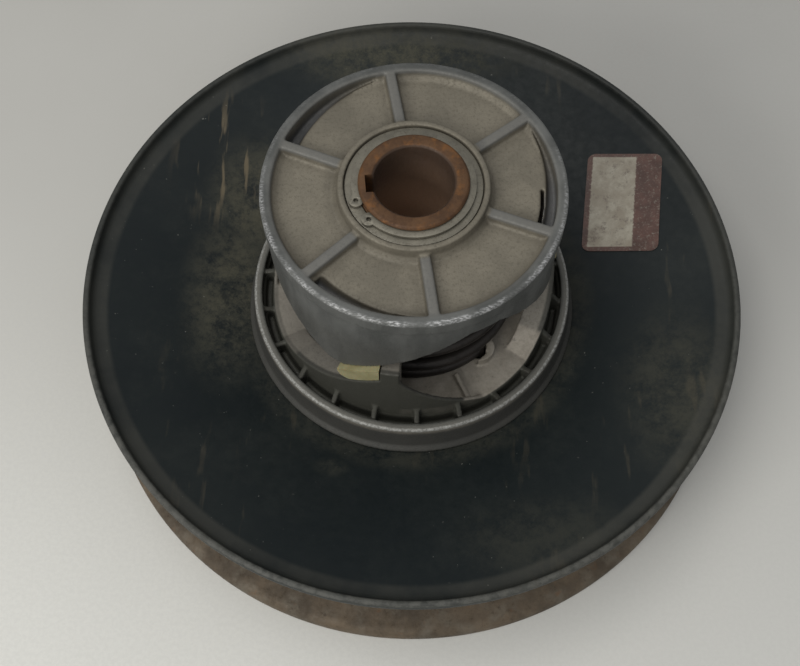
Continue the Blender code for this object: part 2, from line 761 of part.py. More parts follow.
def ramp_shoes():
    holes = pin_cutter("shoe_pin_holes")
    for k, start in enumerate(each_sector(0.0)):
        bm = bmesh.new()
        angles = angles_between(SHOE_START_DEG, SHOE_START_DEG + SHOE_NOSE_DEG, 1.25)[:-1]
        angles += angles_between(SHOE_START_DEG + SHOE_NOSE_DEG, SHOE_END_DEG, 4.0)
        low = shifted(shoe_low_z, start)
        high = shifted(lambda degrees: ramp_line_z(degrees) - GAP, start)
        add_arc_wall(bm, SHOE_IN_R, SHOE_R, low, high, [a + start for a in angles])
        obj = add_part(f"ramp_shoe_{k + 1}", mesh_of(f"ramp_shoe_{k + 1}", bm), "shoe_plastic")
        combine(obj, holes, "DIFFERENCE")


def shoe_pins():
    for k, degrees in enumerate(each_sector(PIN_DEG)):
        bm = bmesh.new()
        add_cylinder(bm, PIN_R, PIN_LENGTH, Matrix.Identity(4), segments=12)
        mesh = mesh_of(f"shoe_pin_{k + 1}", bm)
        obj = add_part(f"shoe_pin_{k + 1}", mesh, "plated_steel")
        obj.matrix_world = pin_matrix(degrees)
        smooth(mesh)


# --- cam bracket -------------------------------------------------------------------------------------


def cam_bracket():
    """The fixed bracket: ribbed web, boss and hub, and a skirt whose lower edge is the three ramps."""
    rim_in = BRACKET_R - RIM_WIDTH
    loop = [
        (BRACKET_R - 0.5, BRACKET_TOP_Z),
        (BRACKET_R, BRACKET_TOP_Z - 0.5),
        (BRACKET_R, STEP_Z),
        (SKIRT_R, STEP_Z - 0.3),
        (SKIRT_R, WEB_LOW_Z),
        (BRACKET_HUB_R + 2.0, WEB_LOW_Z),
        (BRACKET_HUB_R, WEB_LOW_Z - 2.0),
        (BRACKET_HUB_R, BRACKET_HUB_LOW_Z + 1.0),
        (BRACKET_HUB_R - 1.0, BRACKET_HUB_LOW_Z),
        (POST_R + GAP, BRACKET_HUB_LOW_Z),
        (POST_R + GAP, COUNTERBORE_Z),
        (BOSS_BORE_R, COUNTERBORE_Z),
        (BOSS_BORE_R, BOSS_TOP_Z - 0.4),
        (BOSS_BORE_R + 0.4, BOSS_TOP_Z),
        (BOSS_R - 0.6, BOSS_TOP_Z),
        (BOSS_R, BOSS_TOP_Z - 0.6),
        (BOSS_R + 0.5, WEB_TOP_Z + 1.6),
        (BOSS_R + 1.9, WEB_TOP_Z),
        (rim_in - 2.2, WEB_TOP_Z),
        (rim_in - 0.5, WEB_TOP_Z + 0.9),
        (rim_in, BRACKET_TOP_Z - 0.3),
        (rim_in + 0.3, BRACKET_TOP_Z),
    ]
    obj = turned("cam_bracket", loop, "cast_aluminium")

    skirt = bmesh.new()
    corners = []
    for start in each_sector(0.0):
        corners += [d + start for d in (TOOTH_START_DEG, RAMP_START_DEG, RAMP_TOP_DEG, BACK_START_DEG)]
    angles = angles_between(TOOTH_START_DEG, TOOTH_START_DEG + 360, 5.0, corners)
    add_arc_wall(skirt, SKIRT_IN_R, SKIRT_R - 0.1, ramp_edge_z, WEB_LOW_Z + 1.2, angles, closed=True)
    combine(obj, add_cutter("ramp_skirt", mesh_of("ramp_skirt", skirt)), "UNION")

    ribs = bmesh.new()
    length = rim_in - BOSS_R + 1.6
    height = BRACKET_TOP_Z - WEB_TOP_Z + 2.0
    for degrees in RIB_DEGS:
        middle = BOSS_R - 0.6 + length / 2
        at = radial_matrix(middle, degrees, BRACKET_TOP_Z - 0.1 - height / 2)
        add_box(ribs, (length, RIB_W, height), at)
    combine(obj, add_cutter("web_ribs", mesh_of("web_ribs", ribs)), "UNION")

    pockets = bmesh.new()
    for deep, fade, near in POCKETS:
        start, end = sorted((near, fade))
        angles = angles_between(start, end, 5.0, (deep,))
        floor = pocket_floor(deep, fade, near)
        add_arc_wall(pockets, POCKET_IN_R, POCKET_OUT_R, floor, BRACKET_TOP_Z + 2, angles)
    combine(obj, add_cutter("rim_pockets", mesh_of("rim_pockets", pockets)), "DIFFERENCE")

    slits = bmesh.new()
    for start, end in SLITS:
        angles = angles_between(start, end, 5.0)
        add_arc_wall(slits, POCKET_IN_R, POCKET_IN_R + SLIT_W, WEB_LOW_Z - 2, BRACKET_TOP_Z + 1, angles)
    combine(obj, add_cutter("rim_slits", mesh_of("rim_slits", slits)), "DIFFERENCE")

    cuts = bmesh.new()
    outer = KEY_OUT_R + GAP
    inner = POST_R - 5.0
    low_z = BRACKET_HUB_LOW_Z - 2.0
    top_z = KEY_TOP_Z + 3 * GAP
    size = (outer - inner, KEY_W + 2 * GAP, top_z - low_z)
    add_box(cuts, size, radial_matrix((outer + inner) / 2, KEY_DEG, (low_z + top_z) / 2))
    end_deg = SPRING_START_DEG - 360 * SPRING_TURNS
    add_cylinder(cuts, LEG_HOLE_R, 8.0, radial_matrix(SPRING_R, end_deg, WEB_LOW_Z), 20)
    combine(obj, add_cutter("bracket_cuts", mesh_of("bracket_cuts", cuts)), "DIFFERENCE")


def pocket_floor(deep, fade, near):
    """A floor that is deepest at one angle and climbs to the web at the other."""

    def floor(degrees):
        if near != deep and (degrees - deep) * (fade - deep) < 0:
            share = (degrees - deep) / (near - deep)
        else:
            share = (degrees - deep) / (fade - deep)
        return POCKET_FLOOR_Z + (WEB_TOP_Z + 0.3 - POCKET_FLOOR_Z) * share

    return floor


# --- bushes, spring and label ------------------------------------------------------------------------


def bushes():
    for name, (low_z, top_z) in BUSH_SPANS.items():
        turned(name, tube_loop(BUSH_IN_R, BUSH_R, low_z, top_z), "bush_bronze")


def spring_height(turn_deg):
    """Height of the wire's centre, flat over both end coils."""
    total = 360 * SPRING_TURNS
    share = (turn_deg - SPRING_FLAT_DEG) / (total - 2 * SPRING_FLAT_DEG)
    return SPRING_LOW_Z + (SPRING_TOP_Z - SPRING_LOW_Z) * min(1.0, max(0.0, share))


def torsion_spring():
    """The closing spring. Its legs sit in the hub's anchor and in the bracket's web."""
    total = 360 * SPRING_TURNS
    count = round(total / SPRING_POINT_DEG)
    points = [polar(SPRING_R, SPRING_START_DEG, SPRING_LOW_Z - SPRING_LEG)]
    for i in range(count + 1):
        turn = total * i / count
        points.append(polar(SPRING_R, SPRING_START_DEG - turn, spring_height(turn)))
    points.append(polar(SPRING_R, SPRING_START_DEG - total, SPRING_TOP_Z + SPRING_LEG))
    curve = bpy.data.curves.new("torsion_spring", "CURVE")
    curve.dimensions = "3D"
    curve.bevel_depth = WIRE_R * MM
    curve.bevel_resolution = 2
    curve.use_fill_caps = True
    spline = curve.splines.new("POLY")
    spline.points.add(len(points) - 1)
    for point, place in zip(spline.points, points):
        point.co = (*place, 1.0)
    obj = bpy.data.objects.new("torsion_spring", curve)
    curve.materials.append(MATERIALS["spring_steel"])
    PARTS.objects.link(obj)


def label():
    """A thin printed film that follows the movable sheave's cone."""
    width, length = LABEL_SIZE
    bm = bmesh.new()
    bmesh.ops.create_grid(bm, x_segments=6, y_segments=8, size=0.5)
    turn = Matrix.Rotation(math.radians(LABEL_TURN_DEG), 2)
    cut_back = LABEL_CORNER_R * (1 - math.sqrt(0.5))
    for vert in bm.verts:
        place = Vector((vert.co.x * width, vert.co.y * length))
        if len(vert.link_edges) == 2:
            place -= Vector((math.copysign(cut_back, place.x), math.copysign(cut_back, place.y)))
        flat = turn @ place + Vector(LABEL_CENTRE)
        vert.co = Vector((flat.x, flat.y, cone_top_z(flat.length) + GAP)) * MM
    extruded = bmesh.ops.extrude_face_region(bm, geom=list(bm.faces))
    raised = [v for v in extruded["geom"] if isinstance(v, bmesh.types.BMVert)]
    bmesh.ops.translate(bm, verts=raised, vec=(0, 0, LABEL_T * MM))
    add_part("label", mesh_of("label", bm), "label_film")


fixed_sheave()
fixed_hub()
fixed_rivets()
post()
bracket_key()
bracket_washer()
retaining_ring()
cam_bracket()
movable_sheave()
movable_hub()
sheave_screws()
ramp_shoes()
shoe_pins()
bushes()
torsion_spring()
label()
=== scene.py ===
"""Looks of a variator's driven pulley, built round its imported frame.

Everything is in the frame's own axes: +Z is the pulley's axis and z = 0 is the plane it lies on. Sizes
below are in millimetres and angles in degrees, counted from +X towards +Y. The castings, the sheaves,
the post, the spring and the small round pieces are rebuilt at a fine resolution in the places that the
frame gives, and the other nodes keep their shape and get a better finish.
"""

import math

import bmesh
import bpy
from mathutils import Matrix, Vector, noise


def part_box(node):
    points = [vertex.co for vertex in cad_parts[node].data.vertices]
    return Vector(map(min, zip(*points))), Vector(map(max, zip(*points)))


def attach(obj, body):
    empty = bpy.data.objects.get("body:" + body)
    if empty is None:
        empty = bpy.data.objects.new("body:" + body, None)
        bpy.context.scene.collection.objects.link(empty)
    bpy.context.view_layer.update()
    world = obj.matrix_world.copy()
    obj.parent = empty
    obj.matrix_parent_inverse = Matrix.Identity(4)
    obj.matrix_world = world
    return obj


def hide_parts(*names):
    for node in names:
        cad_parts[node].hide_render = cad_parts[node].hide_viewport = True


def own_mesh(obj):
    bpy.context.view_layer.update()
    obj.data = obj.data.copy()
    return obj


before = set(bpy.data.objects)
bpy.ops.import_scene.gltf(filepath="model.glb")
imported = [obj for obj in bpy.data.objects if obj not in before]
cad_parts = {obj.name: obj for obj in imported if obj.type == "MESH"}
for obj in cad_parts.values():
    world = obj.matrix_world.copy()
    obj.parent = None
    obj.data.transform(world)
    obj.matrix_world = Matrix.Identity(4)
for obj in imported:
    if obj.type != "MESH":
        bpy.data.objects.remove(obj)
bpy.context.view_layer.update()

MM = 0.001
GAP = 0.3
SECTORS = 3
SECTOR_DEG = 120.0
CAST_VOXEL = 0.42
CAST_PASSES = 3


def low_z(node):
    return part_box(node)[0].z / MM


def top_z(node):
    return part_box(node)[1].z / MM


def reach(node):
    """The node's largest distance from the axis along X."""
    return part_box(node)[1].x / MM


# Places that the frame gives
SHEAVE_R = reach("movable_sheave")
LIP_TOP_Z = top_z("movable_sheave")
POST_LOW_Z = low_z("post")
POST_TOP_Z = top_z("post")
POST_R = reach("post")
BRACKET_R = reach("cam_bracket")
BOSS_TOP_Z = top_z("cam_bracket")
WASHER_R = reach("bracket_washer")
WASHER_Z = (low_z("bracket_washer"), top_z("bracket_washer"))
RING_Z = (low_z("retaining_ring"), top_z("retaining_ring"))
HUB_BASE_Z = low_z("movable_hub")

# Sheaves
BEND_R = SHEAVE_R - 4.4
CONE_SLOPE = math.tan(math.radians(13.0))
LOWER_EDGE_Z = 6.6
UPPER_EDGE_Z = 42.4
PLATE_T = 2.6
CONE_END_R = 37.0
FIXED_HOLE_R = 22.4
SHEAVE_STEPS = 256

# Fixed hub, rivets and screws
BORE_R = 12.7
KEYWAY_W = 6.35
KEYWAY_R = 15.1
KEYWAY_DEG = 186.0
KEYWAY_START_R = 10.0
KEY_W = 4.76
KEY_DEG = 10.5
KEY_TOP_Z = top_z("bracket_key")
KEY_LOW_Z = low_z("bracket_key")
KEY_SEAT_R = 18.4
KEY_SEAT_DEPTH = 7.0
BRACKET_SEAT_R = 16.3
BRACKET_SEAT_DEPTH = 7.7
RING_GROOVE_R = 16.3
RING_R = 19.5
LUG_DEGS = (200.7, 224.5)
LUG_PITCH_R = 19.0
LUG_R = 2.3
LUG_HOLE_R = 0.8
FIXED_HUB_R = 34.0
FIXED_HUB_TOP_Z = 21.0
FIXED_HUB_LOW_Z = 14.5
FIXED_NECK_R = 22.0
FIXED_NECK_TOP_Z = 27.7
FIXED_FOOT_Z = 6.0
RIVETS = 6
RIVET_PITCH_R = 28.0
RIVET_FIRST_DEG = 33.5
RIVET_R = 3.0
RIVET_HEAD_R = 4.4
RIVET_HEAD_H = 2.4
RIVET_CAP_H = 1.2
SCREWS = 6
SCREW_PITCH_R = 44.0
SCREW_FIRST_DEG = 18.5
SCREW_HEAD_R = 4.6

# Hub casting
HUB_BORE_R = 20.6
HUB_BOSS_R = 26.0
HUB_BOSS_TOP_Z = 62.0
PLATEAU_Z = 44.0
DRUM_R = 50.0
CHANNEL_Z = 39.0
RIM_IN_R = 53.6
RIM_R = 56.4
RIM_TOP_Z = 46.0
HUB_FOOT_R = 59.2
GUSSETS = 22
GUSSET_FIRST_DEG = 224.0
TOWER_IN_R = 41.0
TOWER_R = 49.7
TOWER_FOOT_DEG = 204.0
SEAT_START_DEG = 236.0
BLOCK_START_DEG = 258.8
BLOCK_END_DEG = 266.2
BLOCK_TOP_Z = 76.5
TAIL_IN_R = 48.2
TAIL_TOP_Z = 70.7
TAIL_END_DEG = 302.0
RIDGE_BEFORE_DEG = 19.0
SHOE_T = 7.2

# Bracket casting
RAMP_RISE = 0.56
TOOTH_Z = 69.0
TOOTH_START_DEG = 236.0
RAMP_START_DEG = 243.0
RAMP_TOP_DEG = 293.0
BACK_START_DEG = 305.0
SKIRT_IN_R = 40.9
SKIRT_R = 47.6
BRACKET_TOP_Z = 110.8
STEP_Z = 104.5
RIM_WIDTH = 3.4
WEB_TOP_Z = 107.8
WEB_LOW_Z = 102.5
BOSS_R = 23.8
BOSS_BORE_R = 22.0
COUNTERBORE_Z = 110.5
BRACKET_HUB_R = 24.4
BRACKET_HUB_LOW_Z = 84.0
RIB_DEGS = (38.0, 101.0, 160.0, 224.0, 279.0, 341.0)
RIB_FOOT_W = 5.0
RIB_HEAD_W = 3.0
# Each pocket: deep end, fading end, floor at the deep end
POCKETS = ((228.0, 276.5, 104.6), (343.5, 393.0, 103.3), (157.5, 107.0, 103.4))
POCKET_IN_R = 40.2
POCKET_OUT_R = 44.9
POCKET_NARROWS = 3.6
POCKET_FADE_Z = 107.9
SLIT_DEGS = (343.6, 363.0)
SLIT_R = (39.9, 41.0)

# Spring
SPRING_R = 34.5
WIRE_R = 2.2
SPRING_LOW_Z = PLATEAU_Z + GAP + WIRE_R
SPRING_TOP_Z = WEB_LOW_Z - GAP - WIRE_R
SPRING_TURNS = 6.1
SPRING_FLAT_DEG = 200.0
SPRING_START_DEG = 314.0
SPRING_LEG = 4.6
ANCHOR_R = 5.5
ANCHOR_TOP_Z = 48.0
ANCHOR_SLOT_W = 7.2
LEG_HOLE_R = 2.7

# Label
LABEL_CENTRE = (78.7, 40.3)
LABEL_SIZE = (27.5, 40.0)
LABEL_TURN_DEG = -5.0
LABEL_CORNER_R = 3.0

# Camera: place in metres, small turns in radians, and focal length for a 36 mm sensor
CAMERA_PLACE = (0.0, -0.20633, 0.43555)
CAMERA_PAN = -0.0198613
CAMERA_TILT = 0.0430354
CAMERA_ROLL = 0.00490789
CAMERA_LENS = 55.19


# --- shape helpers -----------------------------------------------------------------------------------


def polar(radius, degrees, z=0.0):
    angle = math.radians(degrees)
    return Vector((radius * math.cos(angle), radius * math.sin(angle), z))


def around(count, radius, first_deg):
    """Evenly spaced places on a circle."""
    return [polar(radius, first_deg + 360 * k / count) for k in range(count)]


def mesh_from(name, bm):
    """The bmesh, drawn in millimetres, as a mesh in metres."""
    bmesh.ops.scale(bm, vec=(MM, MM, MM), verts=bm.verts)
    bmesh.ops.recalc_face_normals(bm, faces=bm.faces)
    mesh = bpy.data.meshes.new(name)
    bm.to_mesh(mesh)
    bm.free()
    return mesh


def object_from(name, bm):
    obj = bpy.data.objects.new(name, mesh_from(name, bm))
    bpy.context.scene.collection.objects.link(obj)
    return obj


def soften(loop, radius, points=3, closed=True):
    """The loop with each corner turned into a small curve."""
    out = []
    count = len(loop)
    for i, corner in enumerate(loop):
        if not closed and i in (0, count - 1):
            out.append(corner)
            continue
        here = Vector(corner)
        before = Vector(loop[i - 1]) - here
        after = Vector(loop[(i + 1) % count]) - here
        start = here + before.normalized() * min(radius, before.length * 0.45)
        end = here + after.normalized() * min(radius, after.length * 0.45)
        for k in range(points + 1):
            t = k / points
            out.append(tuple(start * (1 - t) ** 2 + here * 2 * t * (1 - t) + end * t**2))
    return out


def bridge(bm, first, second):
    """The strip of faces between two sections with the same number of corners."""
    for i in range(len(first)):
        j = (i + 1) % len(first)
        bm.faces.new((first[i], second[i], second[j], first[j]))


def lathe(loop, steps=144):
    """A closed solid turned from a closed (radius, z) loop."""
    bm = bmesh.new()
    rings = []
    for k in range(steps):
        rings.append([bm.verts.new(polar(r, 360 * k / steps, z)) for r, z in loop])
    for first, second in zip(rings, rings[1:] + rings[:1]):
        bridge(bm, first, second)
    return bm


def value(height, degrees):
    return height(degrees) if callable(height) else height


def arc_wall(bm, inner_r, outer_r, low, high, start, end, step=1.0, closed=False):
    """A wall that follows an arc, with edges that may climb along it."""
    count = max(2, round((end - start) / step))
    sections = []
    for k in range(count if closed else count + 1):
        degrees = start + (end - start) * k / count
        low_here = value(low, degrees)
        high_here = value(high, degrees)
        corners = ((inner_r, low_here), (outer_r, low_here), (outer_r, high_here), (inner_r, high_here))
        sections.append([bm.verts.new(polar(r, degrees, z)) for r, z in corners])
    pairs = list(zip(sections, sections[1:]))
    if closed:
        pairs.append((sections[-1], sections[0]))
    else:
        bm.faces.new(sections[0])
        bm.faces.new(reversed(sections[-1]))
    for first, second in pairs:
        bridge(bm, first, second)


def bar(bm, near_r, far_r, foot_z, head_z, foot_w, head_w, degrees):
    """A bar along a radius, with drafted sides."""
    turn = Matrix.Rotation(math.radians(degrees), 4, "Z")
    rows = []
    for r in (near_r, far_r):
        corners = ((-foot_w, foot_z), (foot_w, foot_z), (head_w, head_z), (-head_w, head_z))
        rows.append([bm.verts.new(turn @ Vector((r, y / 2, z))) for y, z in corners])
    bm.faces.new(rows[0])
    bm.faces.new(reversed(rows[1]))
    bridge(bm, *rows)


def fin(bm, outline, width, degrees):
    """A flat fin of this (radius, z) outline, which stands along a radius."""
    turn = Matrix.Rotation(math.radians(degrees), 4, "Z")
    near = [bm.verts.new(turn @ Vector((r, -width / 2, z))) for r, z in outline]
    far = [bm.verts.new(turn @ Vector((r, width / 2, z))) for r, z in outline]
    bm.faces.new(near)
    bm.faces.new(reversed(far))
    bridge(bm, near, far)


def cylinder(bm, radius, z_span, place, segments=48):
    """An upright cylinder at this place."""
    depth = z_span[1] - z_span[0]
    at = Matrix.Translation((place.x, place.y, (z_span[0] + z_span[1]) / 2))
    bmesh.ops.create_cone(
        bm, cap_ends=True, segments=segments, radius1=radius, radius2=radius, depth=depth, matrix=at
    )


def block(bm, size, place, degrees):
    """A box of this size, turned about Z."""
    at = Matrix.Translation(place) @ Matrix.Rotation(math.radians(degrees), 4, "Z")
    bmesh.ops.create_cube(bm, size=1, matrix=at @ Matrix.Diagonal((*size, 1)))


def evaluated(obj):
    """Applies the object's modifiers."""
    graph = bpy.context.evaluated_depsgraph_get()
    mesh = bpy.data.meshes.new_from_object(obj.evaluated_get(graph))
    obj.modifiers.clear()
    old = obj.data
    obj.data = mesh
    bpy.data.meshes.remove(old)
    return obj


def combine(obj, others, operation):
    """Joins or cuts with each of these bmeshes."""
    for k, bm in enumerate(others):
        helper = object_from(f"{obj.name}_{operation}_{k}", bm)
        modifier = obj.modifiers.new(helper.name, "BOOLEAN")
        modifier.operation = operation
        modifier.object = helper
        modifier.solver = "EXACT"
        evaluated(obj)
        bpy.data.objects.remove(helper)
    return obj


def cast(obj, keep):
    """Gives a sharp solid the soft edges and slightly uneven skin of a casting."""
    remesh = obj.modifiers.new("remesh", "REMESH")
    remesh.mode = "VOXEL"
    remesh.voxel_size = CAST_VOXEL * MM
    smooth = obj.modifiers.new("smooth", "SMOOTH")
    smooth.factor = 0.5
    smooth.iterations = CAST_PASSES
    evaluated(obj)
    normals = [vert.normal.copy() for vert in obj.data.vertices]
    for vert, normal in zip(obj.data.vertices, normals):
        wave = noise.noise(vert.co * 220.0) * 0.05 + noise.noise(vert.co * 900.0) * 0.02
        vert.co += normal * wave * MM
    thin = obj.modifiers.new("thin", "DECIMATE")
    thin.ratio = keep
    evaluated(obj)
    obj.data.shade_smooth()
    return obj


def smooth_turned(obj, angle=35.0):
    obj.data.shade_smooth()
    obj.data.set_sharp_from_angle(angle=math.radians(angle))
    return obj


def place_piece(obj, paint, body, slot, *nodes):
    """The piece wears its paint, rides on its body and stands for the CAD nodes."""
    obj.data.materials.clear()
    obj.data.materials.append(paint)
    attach(obj, body)
    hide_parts(*nodes)


# --- materials ---------------------------------------------------------------------------------------


class Paint:
    """A small helper that wires one procedural material."""

    def __init__(self, name):
        self.material = bpy.data.materials.new(name)
        self.material.use_nodes = True
        self.tree = self.material.node_tree
        self.shader = self.tree.nodes["Principled BSDF"]
        self.place = self.tree.nodes.new("ShaderNodeTexCoord").outputs["Object"]

    def node(self, kind, **settings):
        made = self.tree.nodes.new(kind)
        for name, setting in settings.items():
            setattr(made, name, setting)
        return made

    def feed(self, socket, source):
        if isinstance(source, (int, float)):
            socket.default_value = source
        elif isinstance(source, tuple):
            has_alpha = len(socket.default_value) == 4
            socket.default_value = (*source, 1.0) if has_alpha else source
        else:
            self.tree.links.new(source, socket)

    def noise(self, size_mm, detail=4.0, roughness=0.6, stretch=(1, 1, 1), shift=(0, 0, 0)):
        """Noise whose features are about this size."""
        mapping = self.node("ShaderNodeMapping")
        mapping.inputs["Scale"].default_value = stretch
        mapping.inputs["Location"].default_value = shift
        self.feed(mapping.inputs["Vector"], self.place)
        made = self.node("ShaderNodeTexNoise")
        made.inputs["Scale"].default_value = 1 / (size_mm * MM)
        made.inputs["Detail"].default_value = detail
        made.inputs["Roughness"].default_value = roughness
        self.feed(made.inputs["Vector"], mapping.outputs["Vector"])
        return made.outputs["Fac"]

    def ramp(self, source, low, high, low_value=0.0, high_value=1.0):
        """Goes from one value to another as the source goes from low to high."""
        made = self.node("ShaderNodeMapRange", interpolation_type="SMOOTHSTEP")
        made.inputs["From Min"].default_value = low
        made.inputs["From Max"].default_value = high
        made.inputs["To Min"].default_value = low_value
        made.inputs["To Max"].default_value = high_value
        self.feed(made.inputs["Value"], source)
        return made.outputs["Result"]

    def math(self, operation, first, second=0.0, clamp=False):
        made = self.node("ShaderNodeMath", operation=operation, use_clamp=clamp)
        self.feed(made.inputs[0], first)
        self.feed(made.inputs[1], second)
        return made.outputs[0]

    def times(self, *sources):
        out = sources[0]
        for source in sources[1:]:
            out = self.math("MULTIPLY", out, source)
        return out

    def most(self, *sources):
        out = sources[0]
        for source in sources[1:]:
            out = self.math("MAXIMUM", out, source)
        return out

    def mix(self, share, first, second):
        made = self.node("ShaderNodeMix", data_type="RGBA")
        self.feed(made.inputs[0], share)
        self.feed(made.inputs[6], first)
        self.feed(made.inputs[7], second)
        return made.outputs[2]

    def split(self):
        made = self.node("ShaderNodeSeparateXYZ")
        self.feed(made.inputs[0], self.place)
        return made.outputs

    def radius(self):
        """Distance from the pulley's axis, in metres."""
        x, y = self.split()[:2]
        return self.math("SQRT", self.math("ADD", self.times(x, x), self.times(y, y)))

    def height(self):
        return self.split()[2]

    def band(self, source, start, end, soft):
        """1 between start and end, in millimetres, with soft sides."""
        rise = self.ramp(source, (start - soft) * MM, start * MM)
        fall = self.ramp(source, end * MM, (end + soft) * MM, 1.0, 0.0)
        return self.times(rise, fall)

    def patch(self, centre, size):
        """A soft blob about a point, in millimetres."""
        mapping = self.node("ShaderNodeMapping", vector_type="TEXTURE")
        mapping.inputs["Location"].default_value = Vector(centre) * MM
        mapping.inputs["Scale"].default_value = Vector(size) * MM
        self.feed(mapping.inputs["Vector"], self.place)
        length = self.node("ShaderNodeVectorMath", operation="LENGTH")
        self.feed(length.inputs[0], mapping.outputs["Vector"])
        return self.ramp(length.outputs["Value"], 0.2, 1.0, 1.0, 0.0)

    def cavity(self, reach_mm):
        """1 in corners and hollows, 0 on open surfaces."""
        made = self.node("ShaderNodeAmbientOcclusion", samples=8, only_local=True)
        made.inputs["Distance"].default_value = reach_mm * MM
        return self.math("SUBTRACT", 1.0, made.outputs["AO"])

    def edges(self, reach_mm):
        """1 on worn outer edges."""
        made = self.node("ShaderNodeAmbientOcclusion", samples=8, only_local=True, inside=True)
        made.inputs["Distance"].default_value = reach_mm * MM
        return self.math("SUBTRACT", 1.0, made.outputs["AO"])

    def bump(self, *layers):
        """Layers of (height, depth in millimetres)."""
        normal = None
        for height, depth in layers:
            made = self.node("ShaderNodeBump")
            made.inputs["Strength"].default_value = 1.0
            made.inputs["Distance"].default_value = depth * MM
            self.feed(made.inputs["Height"], height)
            if normal:
                self.feed(made.inputs["Normal"], normal)
            normal = made.outputs["Normal"]
        self.feed(self.shader.inputs["Normal"], normal)

    def finish(self, colour, roughness, metallic=0.0, specular=0.5):
        self.feed(self.shader.inputs["Base Color"], colour)
        self.feed(self.shader.inputs["Roughness"], roughness)
        self.feed(self.shader.inputs["Metallic"], metallic)
        self.shader.inputs["Specular IOR Level"].default_value = specular
        return self.material


def black_paint():
    """Old black paint with a blue-green cast, khaki dust, white specks, and a lip worn to grey, with
    painted highlights on the lip's near side and inner slope.
    """
    p = Paint("black_paint")
    radius = p.radius()
    height = p.height()
    cloud = p.noise(55.0, 5.0, 0.65)
    fine = p.noise(3.0, 6.0, 0.7)
    base = p.mix(p.ramp(cloud, 0.35, 0.7), (0.0042, 0.0075, 0.0085), (0.0075, 0.0110, 0.0112))
    # Dust lies in patches and along the foot of the hub
    patches = p.most(
        p.patch((-58, 40, 38), (26, 34, 30)),
        p.patch((-66, 0, 36), (22, 46, 30)),
        p.patch((-8, 103, 44), (60, 18, 30)),
        p.times(p.patch((94, -38, 40), (26, 44, 30)), 0.5),
        p.times(p.patch((46, -92, 40), (40, 22, 30)), 0.3),
        p.times(p.patch((-26, -66, 36), (8, 5, 30)), 0.35),
        p.times(p.band(radius, 58, 62, 7), 0.35),
    )
    grain = p.ramp(p.noise(12.0, 9.0, 0.85, shift=(0.3, 0, 0)), 0.36, 0.62)
    dust = p.times(patches, grain)
    overall = p.times(p.ramp(p.noise(30.0, 8.0, 0.8), 0.45, 0.8), 0.3)
    colour = p.mix(overall, base, (0.034, 0.037, 0.032))
    colour = p.mix(p.times(dust, 0.7), colour, (0.085, 0.080, 0.056))
    specks = p.ramp(p.noise(1.6, 2.0, 0.5), 0.735, 0.77)
    specks = p.times(specks, p.ramp(p.noise(40.0, 2.0), 0.45, 0.6))
    colour = p.mix(p.times(specks, 0.65), colour, (0.17, 0.17, 0.15))
    # Broken scuffs, mostly in one place
    scuffs = p.noise(7.0, 3.0, 0.55, stretch=(1.5, 0.22, 0.5), shift=(0.1, 0.2, 0))
    scuffed = p.most(p.patch((-72, 56, 40), (24, 34, 30)), p.times(p.ramp(cloud, 0.52, 0.62), 0.16))
    scratches = p.times(p.ramp(scuffs, 0.57, 0.67), scuffed)
    colour = p.mix(p.times(scratches, 0.75), colour, (0.15, 0.12, 0.075))
    # The lip: bare and scuffed on top, with a painted highlight that makes it lighter on the near side; a
    # brownish painted highlight along its inner side
    lip = p.ramp(height, (LIP_TOP_Z - 1.6) * MM, (LIP_TOP_Z - 0.5) * MM)
    lip = p.times(lip, p.ramp(fine, 0.35, 0.62, 0.3, 1.0))
    # Painted highlight: the worn lip is made lighter on the near side.
    lip = p.times(lip, p.ramp(p.split()[1], -0.09, 0.04, 1.0, 0.25))
    colour = p.mix(p.times(lip, 0.8), colour, (0.11, 0.11, 0.1))
    # Painted highlight: a lighter brownish band along the lip's inner slope.
    painted_inner_lip_highlight = p.band(radius, SHEAVE_R - 7.0, SHEAVE_R - 1.0, 2.0)
    painted_inner_lip_highlight = p.times(painted_inner_lip_highlight, p.ramp(cloud, 0.3, 0.6, 0.3, 1.0))
    colour = p.mix(p.times(painted_inner_lip_highlight, 0.42), colour, (0.062, 0.06, 0.05))
    rough = p.ramp(fine, 0.25, 0.75, 0.46, 0.62)
    rough = p.math("ADD", rough, p.times(dust, 0.35), clamp=True)
    p.bump((fine, 0.025), (dust, 0.05), (p.math("SUBTRACT", 1.0, scratches), 0.03))
    return p.finish(colour, rough, 0.0, 0.24)


def rusty_steel():
    """Dark paint that rust has broken through, with streaks and bare brown metal."""
    p = Paint("rusty_steel")
    big = p.noise(22.0, 6.0, 0.7)
    small = p.noise(2.4, 8.0, 0.75)
    streak = p.noise(9.0, 5.0, 0.6, stretch=(1, 1, 0.18))
    colour = p.mix(p.ramp(big, 0.35, 0.68), (0.075, 0.058, 0.040), (0.140, 0.105, 0.070))
    colour = p.mix(p.ramp(streak, 0.45, 0.7, 0.0, 0.7), colour, (0.150, 0.130, 0.100))
    colour = p.mix(p.ramp(small, 0.55, 0.72, 0.0, 0.8), colour, (0.050, 0.036, 0.026))
    orange = p.times(p.ramp(p.noise(6.0, 6.0, 0.7, shift=(0.5, 0, 0)), 0.58, 0.72), 0.5)
    colour = p.mix(orange, colour, (0.16, 0.075, 0.03))
    rough = p.ramp(small, 0.3, 0.7, 0.55, 0.85)
    p.bump((small, 0.09), (big, 0.12))
    return p.finish(colour, rough, 0.25, 0.4)


